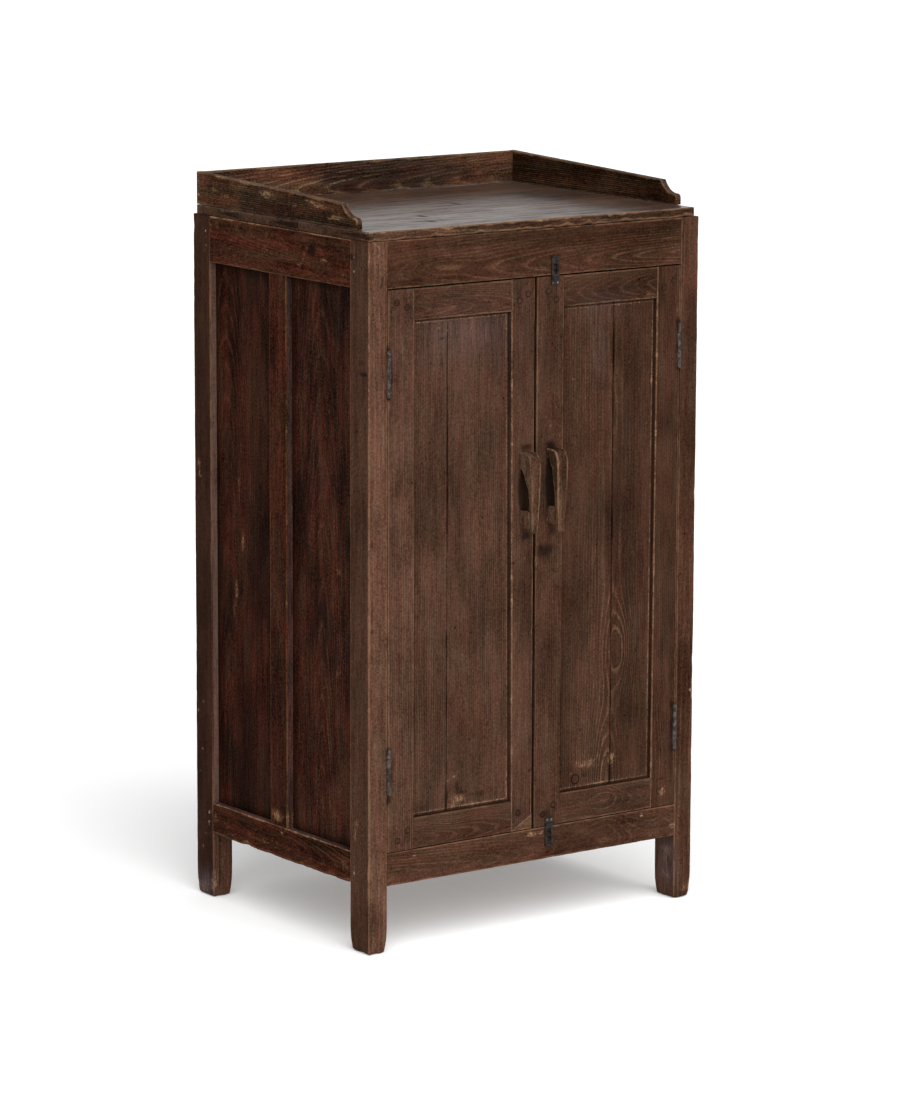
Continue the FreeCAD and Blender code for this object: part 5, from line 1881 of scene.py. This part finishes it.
# Marks of use, of dirt with painted shade, and of dust with painted sheen, by face and by what they leave:
# for each its place, its reach and its strength.
MARKS: tuple[tuple[Face, Trace, tuple[Spot, ...]], ...] = (
    # Most of the front's dark marks are dirt; those round the two grips, near X 0 and Z 670 to 830 mm, are
    # painted shadow in and round the gaps behind the grips.
    (Face.FRONT, GRIME, ((-279, 374, 4.4, 0.6), (-267, 190, 13, 13, 0.6), (-35, 205, 20, 16, 0.5),
        (-143, 217, 3.2, 0.8), (-9.2, 274, 6.4, 5.2, 0.9), (265, 920, 6.3, 0.8), (27, 914, 2.9, 0.6),
        (28, 193, 20, 16, 0.7), (274, 221, 14, 3.8, 0.8), (-210, 1157, 8.1, 4.9, 0.8),
        (-316, 1129, 4, 6.5, 0.9), (-318, 1118, 4, 4.9, 0.8), (-335, 695, 3.2, 13, 0.8),
        (-336, 583, 3.2, 30, 0.75), (-334, 549, 6.1, 5, 0.7), (-319, 254, 20, 8.5, 0.45), (321, 67, 23, 0.8),
        (316, 362, 13, 0.7), (343, 867, 6.6, 0.8), (-337, 53, 29, 51, 0.3), (328, 7.7, 27, 14, 0.6),
        (-21, 828, 19, 6.8, 0.8), (27, 827, 17, 6.8, 0.7), (-20, 677, 17, 8.5, 0.8), (35, 681, 13, 10, 0.6),
        (18, 647, 25, 15, 0.3), (-305, 1014, 6, 10, 0.8), (-305, 994, 4, 16, 0.6), (-305, 958, 4, 16, 0.6),
        (-304, 935, 6, 10, 0.8), (-304, 343, 6.1, 10, 0.8), (-304, 299, 4.1, 27, 0.6),
        (-303, 262, 6.1, 10, 0.8), (301, 1014, 6.6, 8.6, 0.8), (302, 974, 4.4, 24, 0.6),
        (302, 938, 6.6, 8.6, 0.8), (297, 349, 6.7, 8.9, 0.8), (298, 308, 4.5, 25, 0.6),
        (299, 271, 6.7, 8.9, 0.8), (-24, 755, 11, 41, 2.6), (31, 765, 10, 46, 2.6), (-339, 62, 33, 45, 0.35),
        (-297, 977, 3.2, 36, 1.1), (-296, 308, 3.3, 37, 1.1), (295, 312, 3.1, 39, 0.8),
        (299, 991, 3.5, 41, 0.7), (29, 653, 19, 10, 0.5), (19, 640, 17, 12, 0.45), (36, 627, 11, 8.6, 0.4),
        (10, 653, 6.4, 8.5, 0.5), (-26, 642, 13, 6.8, 0.5))),
    (Face.FRONT, FIGURE, ((-176, 209, 38, 16, 7), (277, 248, 15, 90, -9), (266, 404, 14, 19, -6),
        (217, 191, 37, 16, -6), (-89, 130, 130, 16, -7), (-201, 1144, 57, 16, -9))),
    (Face.FRONT, WEAR, ((298, 1033, 3.8, 12, 0.7), (302, 1016, 2.6, 0.9), (29, 858, 2.6, 0.9),
        (42, 890, 2.6, 0.8), (50, 844, 2.6, 0.9), (232, 1067, 7.5, 0.7), (248, 1062, 7.5, 0.7),
        (238, 1068, 5, 0.6), (277, 198, 10, 10, 1.1), (301, 133, 8.6, 11, 0.85), (233, 161, 2.7, 1.5),
        (-7.3, 161, 6.6, 1), (16, 162, 4.6, 1), (-248, 159, 2.6, 1.5), (-25, 173, 4.6, 0.8),
        (7.9, 1128, 29, 8.4, 0.55), (-329, 1190, 5.9, 6.5, 0.9), (-322, 1177, 3, 15, 0.8),
        (-335, 1164, 12, 0.8), (235, 161, 2.6, 0.9), (-249, 158, 2.6, 0.8), (29, 858, 2.6, 0.35),
        (43, 837, 2.8, 0.6), (1.5, 162, 22, 8.7, 0.6), (337, 370, 6.7, 1.2), (333, 18, 18, 9, 0.8),
        (-24, 641, 2.6, 1.6))),
    (Face.PANEL, GRIME, ((-192, 1024, 8.2, 0.9), (-191, 1037, 4.7, 0.7), (-192, 981, 8.2, 0.6),
        (-191, 973, 8.2, 0.5), (-192, 962, 8.2, 0.5), (-194, 957, 8.2, 0.5), (-191, 950, 8.2, 0.5),
        (-72, 1001, 21, 58, 0.3), (-93, 1008, 2.6, 0.8), (-155, 1000, 2.6, 0.8), (-124, 979, 2.6, 0.8),
        (-106, 245, 13, 7.9, 0.8), (-156, 263, 13, 13, 0.5), (-127, 245, 10, 5.3, 0.5),
        (-228, 236, 19, 13, 0.5), (-126, 459, 2.6, 0.8), (-142, 434, 2.6, 0.8), (-207, 467, 2.6, 0.7),
        (-198, 468, 2.6, 0.7), (116, 1042, 15, 12, 0.4), (204, 1024, 12, 12, 0.45), (110, 913, 3.4, 1),
        (111, 248, 8.3, 6.7, 0.8), (-146, 251, 15, 6.9, 0.6), (-166, 264, 13, 12, 0.3),
        (-181, 244, 10, 14, 0.4), (-131, 266, 11, 8.6, 0.3), (-224, 284, 17, 34, 0.3))),
    (Face.PANEL, WEAR, ((-198, 1042, 3.3, 0.8), (-182, 1035, 3.3, 0.7), (-194, 1030, 3.3, 0.7),
        (-185, 1028, 3.3, 0.7), (-134, 1054, 2.8, 0.9), (-124, 1048, 2.8, 0.8), (-131, 1037, 2.8, 0.8),
        (-127, 1027, 2.8, 0.8), (-115, 1035, 2.8, 0.8), (-159, 972, 2.6, 0.9), (-92, 968, 2.6, 0.9),
        (-112, 980, 2.6, 0.8), (-165, 282, 10, 5.3, 0.5), (-156, 244, 13, 7.9, 0.4), (-130, 230, 19, 0.4),
        (-82, 229, 19, 0.4), (-56, 249, 3.3, 32, 0.6), (160, 1033, 3, 0.8), (156, 1006, 3, 0.8),
        (150, 1055, 2.9, 0.8), (179, 1051, 3, 0.8), (163, 953, 2.6, 0.9), (136, 946, 2.6, 0.9),
        (221, 907, 2.6, 0.9), (200, 950, 2.6, 0.9), (82, 933, 2.6, 0.9), (248, 917, 3.5, 1.3),
        (240, 931, 10, 7.9, 0.5), (108, 267, 20, 6.7, 0.55), (169, 267, 8.4, 9.4, 0.65),
        (129, 272, 6.7, 5.4, 0.5), (148, 230, 27, 4, 0.5), (188, 237, 6.8, 5.4, 0.35), (-175, 277, 5.2, 0.5),
        (-162, 284, 4.2, 0.5), (-152, 241, 8.4, 0.5), (-168, 232, 13, 0.5), (-121, 225, 17, 0.5),
        (-156, 245, 59, 24, 0.34), (95, 272, 4.3, 0.4), (123, 263, 5.5, 0.4), (141, 276, 4.4, 0.5),
        (171, 274, 3.3, 8.8, 0.5), (85, 251, 8.7, 0.4), (141, 259, 57, 23, 0.36))),
    (Face.PANEL, BLOOM, ((136, 975, 15, 39, 0.12), (-145, 1025, 92, 47, 0.16), (136, 1054, 43, 24, 0.12))),
    (Face.PANEL, FIGURE, ((185, 460, 32, 70, -17), (158, 228, 40, 113, -22), (-146, 251, 25, 14, -8))),
    (Face.SIDE, GRIME, ((-232, 975, 14, 4.9, 0.9), (-225, 993, 11, 4.9, 0.5), (-195, 1164, 20, 4.9, 1),
        (-211, 880, 5.8, 0.8), (-81, 1162, 15, 10, 0.8), (-163, 1162, 8.6, 6.6, 0.6),
        (-81, 1166, 12, 9.5, 0.6), (33, 978, 12, 3.9, 0.8), (0, 1196, 420, 13, 0.45))),
    (Face.SIDE, WEAR, ((-22, 1145, 10, 0.8), (-59, 1156, 10, 0.8), (-72, 1165, 10, 0.7),
        (-119, 1151, 9.5, 0.8), (-34, 1166, 13, 0.6), (-172, 1128, 16, 11, 0.6), (-8.2, 1159, 9.1, 0.8),
        (-45, 1136, 11, 0.9), (-56, 1146, 7.9, 0.8), (37, 1180, 17, 0.6), (-114, 1149, 13, 0.7),
        (-70, 1171, 5.6, 3.8, 0.7), (262, 762, 6.5, 14, 0.8), (259, 743, 9.1, 5, 0.8), (238, 1157, 3.8, 1.2),
        (242, 1132, 3.8, 1), (221, 1174, 3.2, 14, 0.9), (172, 1193, 13, 0.6), (110, 1171, 12, 0.6),
        (55, 1156, 15, 0.6), (45, 743, 10, 5.6, 0.6), (36, 435, 6.7, 3.8, 0.9), (27, 191, 19, 9.3, 0.95),
        (215, 145, 11, 13, 0.8), (246, 112, 47, 0.5), (154, 125, 46, 0.7), (72, 133, 46, 0.7),
        (263, 13, 32, 18, 0.7), (216, 27, 16, 22, 0.9), (185, 47, 11, 26, 0.8), (269, 326, 4.7, 1.2),
        (253, 344, 4.7, 1), (256, 262, 4.7, 1), (264, 221, 4.7, 1), (234, 154, 4.7, 1.1),
        (237, 132, 4.7, 1.1), (258, 86, 4.7, 1.1), (-211, 221, 10, 10, 0.7), (-207, 199, 5.8, 12, 1),
        (-174, 142, 15, 14, 0.7), (23, 184, 16, 6.9, 1), (12, 159, 5.2, 1.4), (-204, 138, 5, 29, 0.6),
        (27, 139, 70, 0.5), (-231, 524, 4.9, 28, 0.35), (-27, 1202, 16, 5.4, 0.6), (200, 20, 22, 30, 0.8),
        (215, 30, 10, 60, 0.9))),
    (Face.SIDE, BLOOM, ((253, 17, 26, 25, 0.5),)),
    (Face.SIDE_PANEL, WEAR, ((141, 1039, 5.6, 0.9), (156, 738, 5.1, 21, 0.8), (91, 756, 5.6, 11, 0.6),
        (145, 641, 6.1, 21, 1.1), (165, 554, 5.3, 21, 1.25), (173, 519, 6.1, 17, 0.8),
        (165, 494, 6.9, 21, 0.5), (229, 218, 4.7, 35, 0.8), (195, 175, 47, 0.8), (-102, 977, 11, 48, 0.35),
        (-127, 900, 4.5, 19, 0.5), (-121, 852, 4.5, 26, 0.5), (-112, 812, 4.5, 19, 0.5),
        (-142, 1010, 5.6, 5.7, 0.8), (-18, 909, 6.9, 13, 0.6), (-80, 1149, 34, 0.4),
        (-141, 633, 12, 8.5, 0.8), (-141, 464, 12, 14, 0.75), (-99, 429, 5, 77, 0.5), (-140, 261, 29, 0.85),
        (-1.9, 178, 8.7, 29, 0.8), (-74, 168, 68, 3.9, 0.8), (-132, 218, 13, 14, 0.6))),
    (Face.SIDE_PANEL, FIGURE, ((156, 317, 54, 111, -15),)),
    (Face.SIDE_PANEL, GRIME, ((-152, 792, 34, 19, 0.5), (-24, 1074, 11, 29, 0.5), (-158, 1088, 17, 19, 0.5),
        (-141, 619, 18, 6.6, 0.6), (-140, 445, 20, 7.6, 0.5), (-144, 235, 34, 19, 0.4))),
    (Face.GALLERY, WEAR, ((179, 1230, 17, 7.3, 0.7), (-146, 1229, 47, 16, 0.45), (-26, 1232, 19, 0.7),
        (-71, 1244, 19, 0.7), (60, 1246, 39, 0.5), (191, 1262, 19, 8.5, 0.8), (115, 1256, 27, 5, 0.7),
        (52, 1241, 21, 6.7, 0.8), (-31, 1258, 29, 0.7), (-95, 1239, 23, 4.9, 0.8), (216, 1237, 12, 6.8, 0.7),
        (-144, 1222, 17, 0.7))),
    (Face.GALLERY, GRIME, ((225, 1259, 30, 11, 0.6), (54, 1223, 39, 9.1, 0.6), (-99, 1207, 28, 5.4, 0.5),
        (222, 1270, 16, 6.8, 0.7), (154, 1237, 28, 6.8, 0.6), (81, 1265, 24, 5, 0.6), (7, 1238, 27, 6.7, 0.7),
        (-58, 1249, 18, 5, 0.6), (-124, 1245, 20, 4.9, 0.6), (-173, 1230, 17, 4.9, 0.7))),
    (Face.INNER_LEG, WEAR, ((-225, 86, 19, 12, 0.7), (-226, 39, 19, 8.9, 0.7), (-216, 63, 14, 18, 0.5))),
    (Face.INNER_LEG, BLOOM, ((-223, 65, 24, 44, 0.5),)),
    (Face.TOP, GRIME, ((-133, -99, 6.7, 18, 1), (-164, -168, 6.6, 18, 1), (-136, -160, 5, 15, 0.9),
        (27, 23, 6.8, 19, 1), (-101, -49, 37, 76, 0.35), (-51, -262, 82, 58, 0.3))),
    (Face.TOP, WEAR, ((-181, -339, 29, 21, 0.9), (-339, -240, 8.1, 21, 0.9))),
)


def build_patch(workshop: Workshop) -> None:
    """Build the patch in the left door's lower right corner, a hair proud of the frame."""
    node = "left_door_repair_patch"
    low, high = trimmed(node)
    patch = RepairPatch((low[0], low[1] - 0.00035, low[2]), high, Axis.X, 691, Figure.FLAT, 0.0005,
                        ends=(0.0003, 0.0003), chips=3)
    workshop.deliver(node, "patch_wood", patch, body="left_door")


def main() -> None:
    """Build every sub-assembly in order."""
    logging.basicConfig(level=logging.INFO, format="%(name)s: %(message)s")
    woods = {slot: finish.build() for slot, finish in wood_finishes().items()}
    metals = {slot: finish.build() for slot, finish in metal_finishes().items()}
    marks = [mark for face, trace, spots in MARKS for mark in face.marks(trace, spots)]
    workshop = Workshop(woods, metals, marks, TONES)
    Carcase(workshop).build()
    SideFrame(workshop, "left", 201).build()
    SideFrame(workshop, "right", 221).build()
    BackFrame(workshop).build()
    Top(workshop).build()
    Interior(workshop).build()
    Door(workshop, "left", 601, (-0.0485, -0.0540), (-0.2512, -0.2512), LEFT_PEGS, LEFT_GRIP).build()
    Door(workshop, "right", 701, (0.0555, 0.0555), (0.2512, 0.2542), RIGHT_PEGS, RIGHT_GRIP,
         plug=(0.092, 0.2422), heart=0.166).build()
    build_patch(workshop)
    Ironwork(workshop).build()
    Studio().build()


if __name__ == "__main__":
    main()
